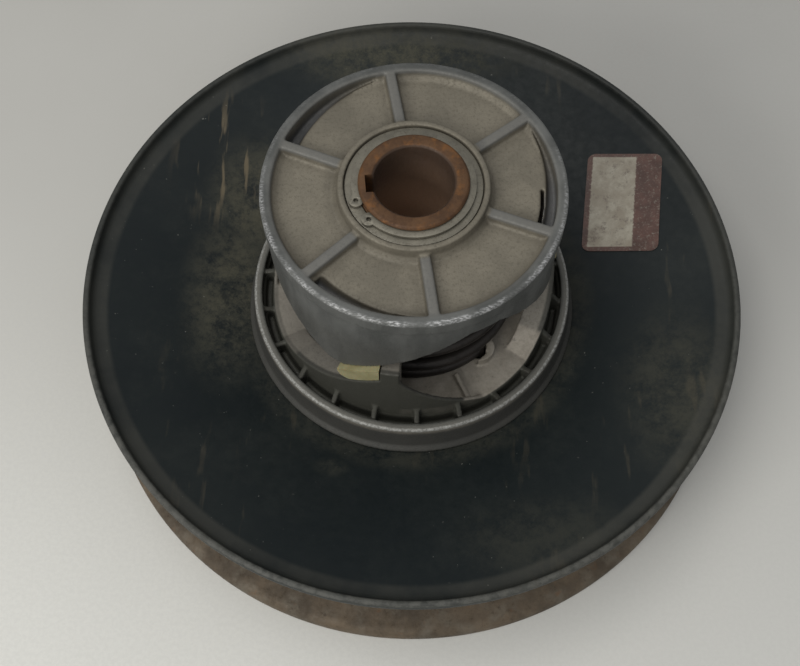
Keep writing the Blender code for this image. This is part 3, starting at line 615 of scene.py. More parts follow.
def post_steel():
    """Rust-orange steel, with brown dust down the bore, painted paler the deeper it goes as painted light.
    """
    p = Paint("post_steel")
    big = p.noise(8.0, 6.0, 0.7)
    small = p.noise(1.3, 8.0, 0.75)
    colour = p.mix(p.ramp(big, 0.35, 0.68), (0.064, 0.031, 0.014), (0.115, 0.058, 0.025))
    colour = p.mix(p.ramp(small, 0.5, 0.7, 0.0, 0.6), colour, (0.048, 0.024, 0.013))
    orange = p.ramp(p.noise(5.0, 6.0, 0.7, shift=(0.4, 0.1, 0)), 0.5, 0.68, 0.0, 0.75)
    colour = p.mix(orange, colour, (0.19, 0.078, 0.020))
    inside = p.ramp(p.radius(), 12.9 * MM, 13.6 * MM, 1.0, 0.0)
    # Painted light: the bore's walls are made paler the deeper they go, standing in for light reaching down
    # the bore.
    depth = p.ramp(p.height(), (POST_TOP_Z - 34.0) * MM, (POST_TOP_Z - 3.0) * MM, 1.0, 0.0)
    dust = p.mix(depth, (0.060, 0.038, 0.026), (0.42, 0.27, 0.18))
    colour = p.mix(p.times(inside, 0.92), colour, dust)
    rough = p.ramp(small, 0.3, 0.7, 0.5, 0.8)
    p.bump((small, 0.06), (big, 0.05))
    return p.finish(colour, rough, 0.3, 0.4)


def cast_metal(name, base, corner_shade_and_grime_colour, bright, edge_reach):
    """Sand-cast aluminium: mottled, darkened in its corners by painted shade with oily muck, and rubbed
    bright on its edges.
    """
    p = Paint(name)
    big = p.noise(16.0, 5.0, 0.65)
    small = p.noise(1.1, 6.0, 0.75)
    grit = p.noise(0.55, 3.0, 0.6)
    colour = p.mix(p.ramp(big, 0.3, 0.72), tuple(0.82 * c for c in base), tuple(1.14 * c for c in base))
    colour = p.mix(p.ramp(small, 0.48, 0.70, 0.0, 0.75), colour, tuple(0.6 * c for c in base))
    # Painted shade with oily muck: corners and hollows are darkened through a local occlusion mask.
    corner_shade_and_grime = p.math("MULTIPLY", p.cavity(5.0), p.ramp(big, 0.2, 0.8, 1.6, 0.9), clamp=True)
    colour = p.mix(corner_shade_and_grime, colour, corner_shade_and_grime_colour)
    worn = p.times(p.ramp(p.edges(edge_reach), 0.42, 0.75), p.ramp(grit, 0.38, 0.62, 0.25, 1.0))
    colour = p.mix(p.times(worn, 0.8), colour, bright)
    rough = p.ramp(small, 0.3, 0.7, 0.5, 0.72)
    rough = p.math("SUBTRACT", rough, p.times(worn, 0.28), clamp=True)
    metal = p.math("ADD", 0.25, p.times(worn, 0.6), clamp=True)
    p.bump((small, 0.05), (grit, 0.03))
    return p, colour, rough, metal, worn


def bracket_aluminium():
    """Warm grey on the bracket's web and a cooler, darker grey on its rim and skirt, where the darker tone
    is partly painted shade; with painted shade and oily muck in its corners, painted shade in its pockets
    and low down, and a painted glint along the front of its rim.
    """
    p, colour, rough, metal, worn = cast_metal(
        "bracket_aluminium", (0.168, 0.150, 0.115), (0.050, 0.043, 0.032), (0.40, 0.40, 0.40), 0.9
    )
    radius = p.radius()
    raised = p.ramp(p.height(), (WEB_TOP_Z + 1.2) * MM, (WEB_TOP_Z + 2.4) * MM)
    raised = p.times(raised, p.ramp(radius, 24.5 * MM, 26.0 * MM))
    colour = p.mix(p.times(raised, 0.7), colour, (0.128, 0.130, 0.127))
    # Painted shade: the pockets along the rim are given a dark blue-grey.
    hollow = p.ramp(radius, 40.5 * MM, 42.5 * MM)
    hollow = p.times(hollow, p.ramp(p.height(), 104.5 * MM, 107.6 * MM, 1.0, 0.0))
    colour = p.mix(p.times(hollow, 0.6), colour, (0.085, 0.092, 0.105))
    # Outside 44 mm the rim and skirt get a cooler, darker streaked grey; on the sideways-facing skirt the
    # darker tone is painted shade.
    outside = p.ramp(radius, 44.0 * MM, 46.5 * MM)
    streak = p.noise(12.0, 5.0, 0.6, stretch=(1, 1, 0.35))
    cool = p.mix(p.ramp(streak, 0.35, 0.7), (0.070, 0.072, 0.068), (0.125, 0.127, 0.120))
    colour = p.mix(p.times(outside, p.math("SUBTRACT", 1.0, p.times(worn, 0.8))), colour, cool)
    # Painted shade: darker towards the bottom, under the web.
    low = p.ramp(p.height(), 84.0 * MM, 100.0 * MM, 0.35, 0.0)
    colour = p.mix(low, colour, (0.07, 0.066, 0.056))
    # Painted glint: a broken bright line along the rim's outer top edge, strongest at the front; it also
    # lowers the roughness there.
    corner = p.band(p.height(), BRACKET_TOP_Z - 0.9, BRACKET_TOP_Z + 1, 0.4)
    corner = p.times(corner, p.ramp(radius, 46.5 * MM, 47.5 * MM))
    corner = p.times(corner, p.ramp(p.split()[1], -30.0 * MM, 30.0 * MM, 1.0, 0.15))
    grain = p.noise(0.45, 3.0, 0.6, stretch=(0.4, 1, 1))
    rubbed = p.times(corner, p.ramp(grain, 0.42, 0.64, 0.1, 1.0))
    rubbed = p.times(rubbed, p.ramp(p.noise(9.0, 2.0), 0.35, 0.6, 0.15, 1.0))
    colour = p.mix(rubbed, colour, (0.42, 0.42, 0.42))
    rough = p.math("SUBTRACT", rough, p.times(rubbed, 0.25), clamp=True)
    return p.finish(colour, rough, metal, 0.45)


def hub_aluminium():
    """The hub casting is darker and greener in its channel and on its drum wall as painted shade, with
    painted shade and oily muck in its corners, a pale plateau laid on more strongly on the right as painted
    light, and clean only along its rim.
    """
    p, colour, rough, metal, worn = cast_metal(
        "hub_aluminium", (0.165, 0.152, 0.128), (0.030, 0.028, 0.021), (0.50, 0.50, 0.47), 0.8
    )
    radius = p.radius()
    # Painted shade: the channel between the drum and the rim is made dark.
    channel_shade = p.band(radius, DRUM_R - 1.5, RIM_IN_R + 0.4, 1.0)
    colour = p.mix(p.times(channel_shade, 0.85), colour, (0.034, 0.034, 0.028))
    wall = p.ramp(radius, (RIM_R + 0.05) * MM, (RIM_R + 0.3) * MM)
    colour = p.mix(p.times(wall, 0.8), colour, (0.026, 0.028, 0.027))
    # Painted shade: the drum's outer wall is made darker.
    drum = p.times(p.ramp(radius, 49.2 * MM, 49.6 * MM), p.ramp(radius, 51.0 * MM, 51.8 * MM, 1.0, 0.0))
    colour = p.mix(p.times(drum, 0.75), colour, (0.048, 0.048, 0.038))
    flat = p.band(p.height(), PLATEAU_Z - 0.5, PLATEAU_Z + 4.5, 1.0)
    flat = p.times(flat, p.ramp(radius, 49.2 * MM, 49.7 * MM, 1.0, 0.0))
    light = p.mix(p.ramp(p.noise(7.0, 8.0, 0.8), 0.3, 0.7), (0.21, 0.185, 0.15), (0.35, 0.32, 0.27))
    stain = p.ramp(p.noise(4.0, 6.0, 0.7, shift=(0.2, 0, 0)), 0.58, 0.72, 0.0, 0.7)
    light = p.mix(stain, light, (0.09, 0.075, 0.06))
    # Painted light: the pale plateau colour is laid on strongly on the right and weakly on the left.
    flat = p.times(flat, p.ramp(p.split()[0], -0.025, 0.005, 0.25, 0.85))
    colour = p.mix(flat, colour, light)
    crest = p.band(p.height(), RIM_TOP_Z - 0.7, RIM_TOP_Z + 0.6, 0.3)
    crest = p.times(crest, p.ramp(radius, 53.2 * MM, 53.8 * MM))
    colour = p.mix(p.times(crest, 0.7), colour, (0.10, 0.10, 0.09))
    crest = p.times(crest, p.ramp(radius, 55.2 * MM, 55.8 * MM))
    crest = p.times(crest, p.ramp(p.noise(0.9, 5.0, 0.7), 0.4, 0.62, 0.2, 1.0))
    colour = p.mix(p.times(crest, 0.8), colour, (0.36, 0.36, 0.34))
    return p.finish(colour, rough, metal, 0.45)


def plain_metal(name, base, dark, rough_low, rough_high, metallic):
    """Plated or bare metal with a little tarnish."""
    p = Paint(name)
    big = p.noise(5.0, 5.0, 0.65)
    small = p.noise(0.9, 5.0, 0.7)
    colour = p.mix(p.ramp(big, 0.35, 0.7), base, tuple(0.75 * c for c in base))
    colour = p.mix(p.ramp(small, 0.52, 0.72, 0.0, 0.7), colour, dark)
    rough = p.ramp(small, 0.3, 0.7, rough_low, rough_high)
    p.bump((small, 0.02))
    return p.finish(colour, rough, metallic, 0.5)


def shoe_plastic():
    """Pale yellow plastic, rubbed and a little dirty."""
    p = Paint("shoe_plastic")
    big = p.noise(6.0, 4.0, 0.6)
    small = p.noise(0.8, 5.0, 0.7)
    colour = p.mix(p.ramp(big, 0.35, 0.7), (0.225, 0.205, 0.105), (0.30, 0.275, 0.155))
    colour = p.mix(p.ramp(small, 0.55, 0.75, 0.0, 0.6), colour, (0.15, 0.125, 0.06))
    p.bump((small, 0.02))
    p.shader.inputs["Subsurface Weight"].default_value = 0.1
    p.shader.inputs["Subsurface Scale"].default_value = 0.002
    return p.finish(colour, p.ramp(small, 0.3, 0.7, 0.35, 0.55), 0.0, 0.45)


def label_film():
    """A worn film: a pale panel on its left two thirds, and a dark red border on the right and round it."""
    p = Paint("label_film")
    mapping = p.node("ShaderNodeMapping", vector_type="TEXTURE")
    mapping.inputs["Location"].default_value = (LABEL_CENTRE[0] * MM, LABEL_CENTRE[1] * MM, 0)
    mapping.inputs["Rotation"].default_value = (0, 0, math.radians(LABEL_TURN_DEG))
    p.feed(mapping.inputs["Vector"], p.place)
    sides = p.node("ShaderNodeSeparateXYZ")
    p.feed(sides.inputs[0], mapping.outputs["Vector"])
    small = p.noise(1.0, 6.0, 0.75)
    big = p.noise(7.0, 5.0, 0.7)
    jagged = p.math("ADD", sides.outputs[0], p.ramp(small, 0.2, 0.8, -0.4 * MM, 0.4 * MM))
    half_x = LABEL_SIZE[0] / 2
    half_y = LABEL_SIZE[1] / 2
    panel_x = p.band(jagged, 2.2 - half_x, 0.3 * half_x, 0.5)
    panel_y = p.band(sides.outputs[1], 2.0 - half_y, half_y - 1.6, 0.5)
    panel = p.times(panel_x, panel_y)
    red = p.mix(p.ramp(big, 0.35, 0.7), (0.050, 0.021, 0.014), (0.095, 0.042, 0.030))
    cream = p.mix(p.ramp(big, 0.35, 0.7), (0.225, 0.195, 0.148), (0.325, 0.30, 0.24))
    worn = p.ramp(p.noise(3.2, 7.0, 0.8, shift=(0.2, 0, 0)), 0.52, 0.66)
    cream = p.mix(p.times(worn, 0.7), cream, (0.1, 0.075, 0.06))
    red = p.mix(p.ramp(small, 0.52, 0.68, 0.0, 0.7), red, (0.2, 0.18, 0.15))
    colour = p.mix(panel, red, cream)
    p.bump((small, 0.02), (worn, 0.02))
    return p.finish(colour, p.ramp(small, 0.3, 0.7, 0.35, 0.6), 0.0, 0.45)


def floor_paint():
    """A pale matt board with the faintest mottling, painted lighter towards the front and darker to the
    right as painted light.
    """
    p = Paint("floor_paint")
    cloud = p.noise(160.0, 4.0, 0.55)
    grain = p.noise(1.5, 4.0, 0.7)
    # Painted light: the board is lighter towards the front and darker to the right.
    near = p.ramp(p.split()[1], -0.17, 0.12, 1.0, 0.0)
    colour = p.mix(near, (0.445, 0.435, 0.405), (0.69, 0.685, 0.645))
    colour = p.mix(p.ramp(p.split()[0], -0.15, 0.15, 0.0, 0.35), colour, (0.38, 0.375, 0.36))
    colour = p.mix(p.ramp(cloud, 0.3, 0.7, 0.0, 0.25), colour, (0.56, 0.555, 0.525))
    marks = p.ramp(p.noise(4.0, 4.0, 0.7), 0.70, 0.74)
    colour = p.mix(p.times(marks, p.ramp(cloud, 0.45, 0.6), 0.3), colour, (0.30, 0.29, 0.27))
    colour = p.mix(p.ramp(grain, 0.35, 0.65, 0.0, 0.2), colour, (0.48, 0.475, 0.45))
    p.bump((grain, 0.02))
    return p.finish(colour, 0.85, 0.0, 0.2)


# --- sheaves -----------------------------------------------------------------------------------------


def lip_loop(edge_z, lip_z, hole_r, hole_z):
    """The movable sheave's profile, clockwise from the lip's outer top corner."""
    loop = [
        (SHEAVE_R - 0.6, lip_z),
        (SHEAVE_R, lip_z - 0.8),
        (SHEAVE_R - 0.2, edge_z + 2.6),
        (SHEAVE_R - 1.2, edge_z + 1.0),
        (SHEAVE_R - 2.6, edge_z + 0.3),
        (BEND_R, edge_z),
        (hole_r, hole_z),
        (hole_r, hole_z + PLATE_T),
        (BEND_R - 0.8, edge_z + PLATE_T),
        (BEND_R + 0.8, edge_z + PLATE_T + 0.6),
        (SHEAVE_R - 2.7, edge_z + PLATE_T + 1.9),
        (SHEAVE_R - 2.3, lip_z - 0.5),
        (SHEAVE_R - 1.8, lip_z),
    ]
    return loop


def dished(bm, amount):
    """A pressed plate is never quite true: a slow wave of this height near the rim only."""
    for vert in bm.verts:
        radius = vert.co.to_2d().length
        share = max(0.0, (radius - 70.0) / (SHEAVE_R - 70.0))
        angle = math.atan2(vert.co.y, vert.co.x)
        vert.co.z -= amount * share * (0.5 + 0.5 * math.sin(3 * angle + 0.7))
    return bm


def movable_sheave(paint):
    hole_z = UPPER_EDGE_Z - (BEND_R - CONE_END_R) * CONE_SLOPE
    loop = soften(lip_loop(UPPER_EDGE_Z, LIP_TOP_Z, CONE_END_R, hole_z), 0.7, 2)
    obj = object_from("fine_movable_sheave", dished(lathe(loop, SHEAVE_STEPS), 0.25))
    sinks = bmesh.new()
    face_z = UPPER_EDGE_Z - (BEND_R - SCREW_PITCH_R) * CONE_SLOPE
    for place in around(SCREWS, SCREW_PITCH_R, SCREW_FIRST_DEG):
        cylinder(sinks, SCREW_HEAD_R + GAP, (face_z - 5.0, face_z + 0.8 + GAP), place, 40)
    combine(obj, [sinks], "DIFFERENCE")
    smooth_turned(obj, 30.0)
    place_piece(obj, paint, "movable", "black_paint", "movable_sheave")


def rivet_holes(low, high):
    holes = bmesh.new()
    for place in around(RIVETS, RIVET_PITCH_R, RIVET_FIRST_DEG):
        cylinder(holes, RIVET_R + GAP, (low, high), place, 32)
    return holes


def fixed_sheave(paint):
    centre_z = LOWER_EDGE_Z + (BEND_R - CONE_END_R) * CONE_SLOPE
    lip = lip_loop(-LOWER_EDGE_Z, 0.0, CONE_END_R, -centre_z)
    at = lip.index((CONE_END_R, -centre_z))
    centre = [
        (FIXED_HOLE_R, -centre_z),
        (FIXED_HOLE_R, -centre_z + PLATE_T),
        (CONE_END_R, -centre_z + PLATE_T),
    ]
    flat = lip[: at + 1] + centre + lip[at + 2 :]
    loop = soften([(r, -z) for r, z in reversed(flat)], 0.7, 2)
    obj = object_from("fine_fixed_sheave", lathe(loop, SHEAVE_STEPS))
    combine(obj, [rivet_holes(centre_z - 8.0, centre_z + 4.0)], "DIFFERENCE")
    smooth_turned(obj, 30.0)
    place_piece(obj, paint, "fixed", "rusty_steel", "fixed_sheave")


def fixed_hub(paint):
    loop = [
        (FIXED_NECK_R, FIXED_NECK_TOP_Z),
        (FIXED_NECK_R, FIXED_HUB_TOP_Z),
        (FIXED_HUB_R, FIXED_HUB_TOP_Z),
        (FIXED_HUB_R, FIXED_HUB_LOW_Z),
        (FIXED_NECK_R, FIXED_HUB_LOW_Z),
        (FIXED_NECK_R, FIXED_FOOT_Z),
        (POST_R + GAP, FIXED_FOOT_Z),
        (POST_R + GAP, FIXED_NECK_TOP_Z),
    ]
    obj = object_from("fine_fixed_hub", lathe(soften(loop, 0.9, 3), 120))
    combine(obj, [rivet_holes(FIXED_HUB_LOW_Z - 3.0, FIXED_HUB_TOP_Z + 3.0)], "DIFFERENCE")
    smooth_turned(obj, 35.0)
    place_piece(obj, paint, "fixed", "rusty_steel", "fixed_hub")


def fixed_rivets(paint):
    """Flat-headed on the sheave's side and round-headed under the hub."""
    face_z = LOWER_EDGE_Z + (BEND_R - CONE_END_R) * CONE_SLOPE + GAP
    foot_z = FIXED_HUB_LOW_Z - GAP
    half = [
        (0.05, face_z + RIVET_CAP_H),
        (RIVET_HEAD_R * 0.7, face_z + RIVET_CAP_H),
        (RIVET_HEAD_R, face_z + 0.4),
        (RIVET_HEAD_R, face_z),
        (RIVET_R, face_z),
        (RIVET_R, foot_z),
        (RIVET_HEAD_R, foot_z),
    ]
    for step in range(1, 7):
        angle = math.radians(15 * step)
        head_r = max(0.05, RIVET_HEAD_R * math.cos(angle))
        half.append((head_r, foot_z - RIVET_HEAD_H * math.sin(angle)))
    for k, place in enumerate(around(RIVETS, RIVET_PITCH_R, RIVET_FIRST_DEG)):
        bm = lathe(half, 36)
        bmesh.ops.remove_doubles(bm, verts=bm.verts, dist=0.001)
        bmesh.ops.translate(bm, verts=bm.verts, vec=place)
        obj = object_from(f"fine_rivet_{k + 1}", bm)
        smooth_turned(obj, 35.0)
        place_piece(obj, paint, "fixed", "rusty_steel", f"fixed_rivet_{k + 1}")


# --- post, washer and retaining ring -----------------------------------------------------------------


def post(paint):
    groove = (RING_Z[0] - GAP, RING_Z[1] + GAP)
    loop = [
        (POST_R - 0.7, POST_TOP_Z),
        (POST_R, POST_TOP_Z - 0.7),
        (POST_R, groove[1]),
        (RING_GROOVE_R, groove[1]),
        (RING_GROOVE_R, groove[0]),
        (POST_R, groove[0]),
        (POST_R, POST_LOW_Z + 0.7),
        (POST_R - 0.7, POST_LOW_Z),
        (BORE_R + 0.7, POST_LOW_Z),
        (BORE_R, POST_LOW_Z + 0.7),
        (BORE_R, POST_TOP_Z - 0.7),
        (BORE_R + 0.7, POST_TOP_Z),
    ]
    obj = object_from("fine_post", lathe(soften(loop, 0.25, 2), 144))
    cut = bmesh.new()
    middle = polar((KEYWAY_START_R + KEYWAY_R) / 2, KEYWAY_DEG, (POST_TOP_Z + POST_LOW_Z) / 2)
    block(cut, (KEYWAY_R - KEYWAY_START_R, KEYWAY_W, POST_TOP_Z + 20.0), middle, KEYWAY_DEG)
    seat = bmesh.new()
    span = (KEY_LOW_Z - GAP, KEY_TOP_Z + GAP)
    middle = polar(KEY_SEAT_R, KEY_DEG, sum(span) / 2)
    block(seat, (KEY_SEAT_DEPTH, KEY_W + 2 * GAP, span[1] - span[0]), middle, KEY_DEG)
    combine(obj, [cut, seat], "DIFFERENCE")
    smooth_turned(obj, 28.0)
    place_piece(obj, paint, "fixed", "post_steel", "post")


def bracket_washer(paint):
    low, top = WASHER_Z
    loop = [(WASHER_R, top), (WASHER_R, low), (POST_R + GAP, low), (POST_R + GAP, top)]
    obj = object_from("fine_washer", lathe(soften(loop, 0.2, 2), 144))
    smooth_turned(obj, 40.0)
    place_piece(obj, paint, "fixed", "plated_steel", "bracket_washer")


def retaining_ring(paint):
    """An open spring ring with two drilled lugs."""
    low, top = RING_Z
    bm = bmesh.new()
    arc_wall(bm, RING_GROOVE_R + GAP, RING_R, low, top, LUG_DEGS[1] - 360, LUG_DEGS[0], 2.0)
    obj = object_from("fine_retaining_ring", bm)
    heads = bmesh.new()
    holes = bmesh.new()
    for degrees in LUG_DEGS:
        place = polar(LUG_PITCH_R, degrees)
        cylinder(heads, LUG_R, (low + 0.02, top - 0.02), place, 36)
        cylinder(holes, LUG_HOLE_R, (low - 1.0, top + 1.0), place, 24)
    combine(obj, [heads], "UNION")
    combine(obj, [holes], "DIFFERENCE")
    edge = obj.modifiers.new("edge", "BEVEL")
    edge.width = 0.12 * MM
    edge.segments = 2
    edge.limit_method = "ANGLE"
    edge.angle_limit = math.radians(50)
    evaluated(obj)
    smooth_turned(obj, 40.0)
    place_piece(obj, paint, "fixed", "plated_steel", "retaining_ring")


# --- castings ----------------------------------------------------------------------------------------


def ramp_line_z(degrees):
    return TOOTH_Z + RAMP_RISE * (degrees - RAMP_START_DEG)


def ramp_edge_z(degrees):
    """The skirt's lower edge: tooth tip, ramp up, flat top, and back down to the next tooth."""
    turn = (degrees - TOOTH_START_DEG) % SECTOR_DEG
    tip = RAMP_START_DEG - TOOTH_START_DEG
    top = RAMP_TOP_DEG - TOOTH_START_DEG
    back = BACK_START_DEG - TOOTH_START_DEG
    top_height = TOOTH_Z + RAMP_RISE * (top - tip)
    if turn <= tip:
        return TOOTH_Z
    if turn <= top:
        return TOOTH_Z + RAMP_RISE * (turn - tip)
    if turn <= back:
        return top_height
    return top_height - (top_height - TOOTH_Z) * (turn - back) / (SECTOR_DEG - back)


def pocket(start, end, deep_z):
    """A crescent cut into the web along the rim, deepest at start and fading towards end."""
    bm = bmesh.new()
    first, last = min(start, end), max(start, end)
    top_z = BRACKET_TOP_Z + 2
    count = round(last - first)
    sections = []
    for k in range(count + 1):
        degrees = first + (last - first) * k / count
        share = min(1.0, abs(degrees - start) / abs(end - start))
        inner_r = POCKET_IN_R + POCKET_NARROWS * share**1.5
        floor_z = deep_z + (POCKET_FADE_Z - deep_z) * share
        slope = 2.2 - 1.6 * share
        corners = [
            (inner_r + slope, floor_z),
            (POCKET_OUT_R, floor_z - 0.3),
            (POCKET_OUT_R, top_z),
            (inner_r - slope, top_z),
        ]
        sections.append([bm.verts.new(polar(r, degrees, z)) for r, z in corners])
    bm.faces.new(sections[0])
    bm.faces.new(reversed(sections[-1]))
    for one, two in zip(sections, sections[1:]):
        bridge(bm, one, two)
    return bm


def cam_bracket(paint):
    rim_in = BRACKET_R - RIM_WIDTH
    loop = [
        (BRACKET_R - 0.5, BRACKET_TOP_Z),
        (BRACKET_R, BRACKET_TOP_Z - 0.5),
        (BRACKET_R, STEP_Z),
        (SKIRT_R, STEP_Z - 0.3),
        (SKIRT_R, WEB_LOW_Z),
        (BRACKET_HUB_R + 2.0, WEB_LOW_Z),
        (BRACKET_HUB_R, WEB_LOW_Z - 2.0),
        (BRACKET_HUB_R, BRACKET_HUB_LOW_Z),
        (POST_R + GAP, BRACKET_HUB_LOW_Z),
        (POST_R + GAP, COUNTERBORE_Z),
        (BOSS_BORE_R, COUNTERBORE_Z),
        (BOSS_BORE_R, BOSS_TOP_Z),
        (BOSS_R, BOSS_TOP_Z),
        (BOSS_R + 0.5, WEB_TOP_Z + 1.6),
        (BOSS_R + 1.9, WEB_TOP_Z),
        (rim_in - 2.2, WEB_TOP_Z),
        (rim_in - 0.5, WEB_TOP_Z + 0.9),
        (rim_in, BRACKET_TOP_Z - 0.3),
        (rim_in + 0.3, BRACKET_TOP_Z),
    ]
    obj = object_from("fine_cam_bracket", lathe(loop, 180))
    skirt = bmesh.new()
    start = TOOTH_START_DEG
    arc_wall(skirt, SKIRT_IN_R, SKIRT_R - 0.05, ramp_edge_z, WEB_LOW_Z + 1.2, start, start + 360, 1.0, True)
    ribs = bmesh.new()
    for degrees in RIB_DEGS:
        heights = (WEB_TOP_Z - 1.5, BRACKET_TOP_Z - 0.15)
        bar(ribs, BOSS_R - 0.6, rim_in + 1.2, *heights, RIB_FOOT_W, RIB_HEAD_W, degrees)
    combine(obj, [skirt, ribs], "UNION")
    pockets = [pocket(*place) for place in POCKETS]
    cuts = bmesh.new()
    span = (BRACKET_HUB_LOW_Z - 2.0, KEY_TOP_Z + 3 * GAP)
    middle = polar(BRACKET_SEAT_R, KEY_DEG, sum(span) / 2)
    block(cuts, (BRACKET_SEAT_DEPTH, KEY_W + 2 * GAP, span[1] - span[0]), middle, KEY_DEG)
    end_deg = SPRING_START_DEG - 360 * SPRING_TURNS
    cylinder(cuts, LEG_HOLE_R, (WEB_LOW_Z - 4.0, WEB_LOW_Z + 4.0), polar(SPRING_R, end_deg))
    slit = bmesh.new()
    arc_wall(slit, *SLIT_R, WEB_LOW_Z - 2.0, BRACKET_TOP_Z + 1.0, *SLIT_DEGS)
    combine(obj, [*pockets, cuts, slit], "DIFFERENCE")
    cast(obj, 0.42)
    place_piece(obj, paint, "fixed", "cast_aluminium", "cam_bracket")


def seat_z(degrees):
    return ramp_line_z(degrees) - SHOE_T - 2 * GAP


def tower_top_z(degrees):
    if degrees <= SEAT_START_DEG:
        share = (degrees - TOWER_FOOT_DEG) / (SEAT_START_DEG - TOWER_FOOT_DEG)
        return PLATEAU_Z - 0.5 + (seat_z(SEAT_START_DEG) - PLATEAU_Z + 0.5) * share
    return seat_z(degrees)


def tail_top_z(degrees):
    if degrees <= BLOCK_END_DEG:
        return TAIL_TOP_Z
    share = (degrees - BLOCK_END_DEG) / (TAIL_END_DEG - BLOCK_END_DEG)
    return TAIL_TOP_Z + (PLATEAU_Z - 0.4 - TAIL_TOP_Z) * share**0.72


def drum_top_z(degrees):
    local = TOWER_FOOT_DEG + (degrees - TOWER_FOOT_DEG) % SECTOR_DEG
    if local <= BLOCK_START_DEG:
        return tower_top_z(local)
    if local <= BLOCK_END_DEG:
        return BLOCK_TOP_Z
    return max(tail_top_z(local), PLATEAU_Z)


def shifted(height, shift):
    """The same edge, for the copy that stands this many degrees further round."""
    return lambda degrees: height(degrees - shift)


def cone_top_z(radius):
    return UPPER_EDGE_Z - (BEND_R - radius) * CONE_SLOPE + PLATE_T


def movable_hub(paint):
    loop = [
        (RIM_R - 0.4, RIM_TOP_Z),
        (RIM_R, RIM_TOP_Z - 0.4),
        (RIM_R + 0.7, CHANNEL_Z),
        (HUB_FOOT_R - 1.6, 35.6),
        (HUB_FOOT_R, cone_top_z(HUB_FOOT_R) + GAP + 0.8),
        (HUB_FOOT_R, cone_top_z(HUB_FOOT_R) + GAP),
        (CONE_END_R, cone_top_z(CONE_END_R) + GAP),
        (CONE_END_R - GAP, HUB_BASE_Z),
        (HUB_BORE_R, HUB_BASE_Z),
        (HUB_BORE_R, HUB_BOSS_TOP_Z),
        (HUB_BOSS_R - 1.0, HUB_BOSS_TOP_Z),
        (HUB_BOSS_R, HUB_BOSS_TOP_Z - 1.0),
        (HUB_BOSS_R, PLATEAU_Z + 2.5),
        (HUB_BOSS_R + 2.5, PLATEAU_Z),
        (DRUM_R - 0.6, PLATEAU_Z),
        (DRUM_R, PLATEAU_Z - 0.6),
        (DRUM_R + 0.5, CHANNEL_Z),
        (RIM_IN_R - 1.1, CHANNEL_Z),
        (RIM_IN_R - 0.9, CHANNEL_Z + 3.2),
        (RIM_IN_R - 0.1, CHANNEL_Z + 3.4),
        (RIM_IN_R, RIM_TOP_Z),
    ]
    obj = object_from("fine_movable_hub", lathe(loop, 180))
    towers = bmesh.new()
    blocks = bmesh.new()
    tails = bmesh.new()
    for k in range(SECTORS):
        shift = SECTOR_DEG * k
        tower = shifted(tower_top_z, shift)
        tail = shifted(tail_top_z, shift)
        foot = TOWER_FOOT_DEG + shift
        start = BLOCK_START_DEG + shift
        end = BLOCK_END_DEG + shift
        arc_wall(towers, TOWER_IN_R, TOWER_R, PLATEAU_Z - 3, tower, foot, BLOCK_START_DEG + 1 + shift)
        arc_wall(blocks, TOWER_IN_R + 0.05, TOWER_R - 0.05, PLATEAU_Z - 3.2, BLOCK_TOP_Z, start, end)
        arc_wall(tails, TAIL_IN_R, TOWER_R - 0.1, PLATEAU_Z - 2.0, tail, end - 2.0, TAIL_END_DEG + shift)
    gussets = bmesh.new()
    for k in range(GUSSETS):
        degrees = GUSSET_FIRST_DEG + 360 * k / GUSSETS
        outline = [
            (DRUM_R - 1.2, CHANNEL_Z - 1.0),
            (RIM_IN_R + 1.0, CHANNEL_Z - 1.0),
            (RIM_IN_R + 1.0, 44.6),
            (RIM_IN_R - 0.6, 45.0),
            (DRUM_R - 1.2, min(51.0, drum_top_z(degrees) - 0.6)),
        ]
        fin(gussets, outline, 1.8, degrees)
    anchor = bmesh.new()
    anchor_at = polar(SPRING_R, SPRING_START_DEG)
    cylinder(anchor, ANCHOR_R, (PLATEAU_Z - 2.0, ANCHOR_TOP_Z), anchor_at)
    ribs = bmesh.new()
    for k in range(SECTORS):
        degrees = SPRING_START_DEG - RIDGE_BEFORE_DEG + SECTOR_DEG * k
        bar(ribs, 38.0, 49.0, PLATEAU_Z - 1.6, PLATEAU_Z + 2.3, 2.6, 1.4, degrees)
    combine(obj, [towers, blocks, tails, gussets, anchor, ribs], "UNION")
    slot = bmesh.new()
    side = polar(4.95, SPRING_START_DEG - 90)
    slot_middle = Vector((anchor_at.x + side.x, anchor_at.y + side.y, PLATEAU_Z + 4.05))
    block(slot, (ANCHOR_SLOT_W, 2 * ANCHOR_R, 8.0), slot_middle, SPRING_START_DEG)
    holes = bmesh.new()
    for place in around(SECTORS, SPRING_R, SPRING_START_DEG):
        cylinder(holes, LEG_HOLE_R, (PLATEAU_Z - 5.5, PLATEAU_Z + 8.5), place, 40)
    combine(obj, [slot, holes], "DIFFERENCE")
    cast(obj, 0.4)
    place_piece(obj, paint, "movable", "cast_aluminium", "movable_hub")


# --- spring and label --------------------------------------------------------------------------------


def spring_height(turn_deg):
    total = 360 * SPRING_TURNS
    share = (turn_deg - SPRING_FLAT_DEG) / (total - 2 * SPRING_FLAT_DEG)
    return SPRING_LOW_Z + (SPRING_TOP_Z - SPRING_LOW_Z) * min(1.0, max(0.0, share))


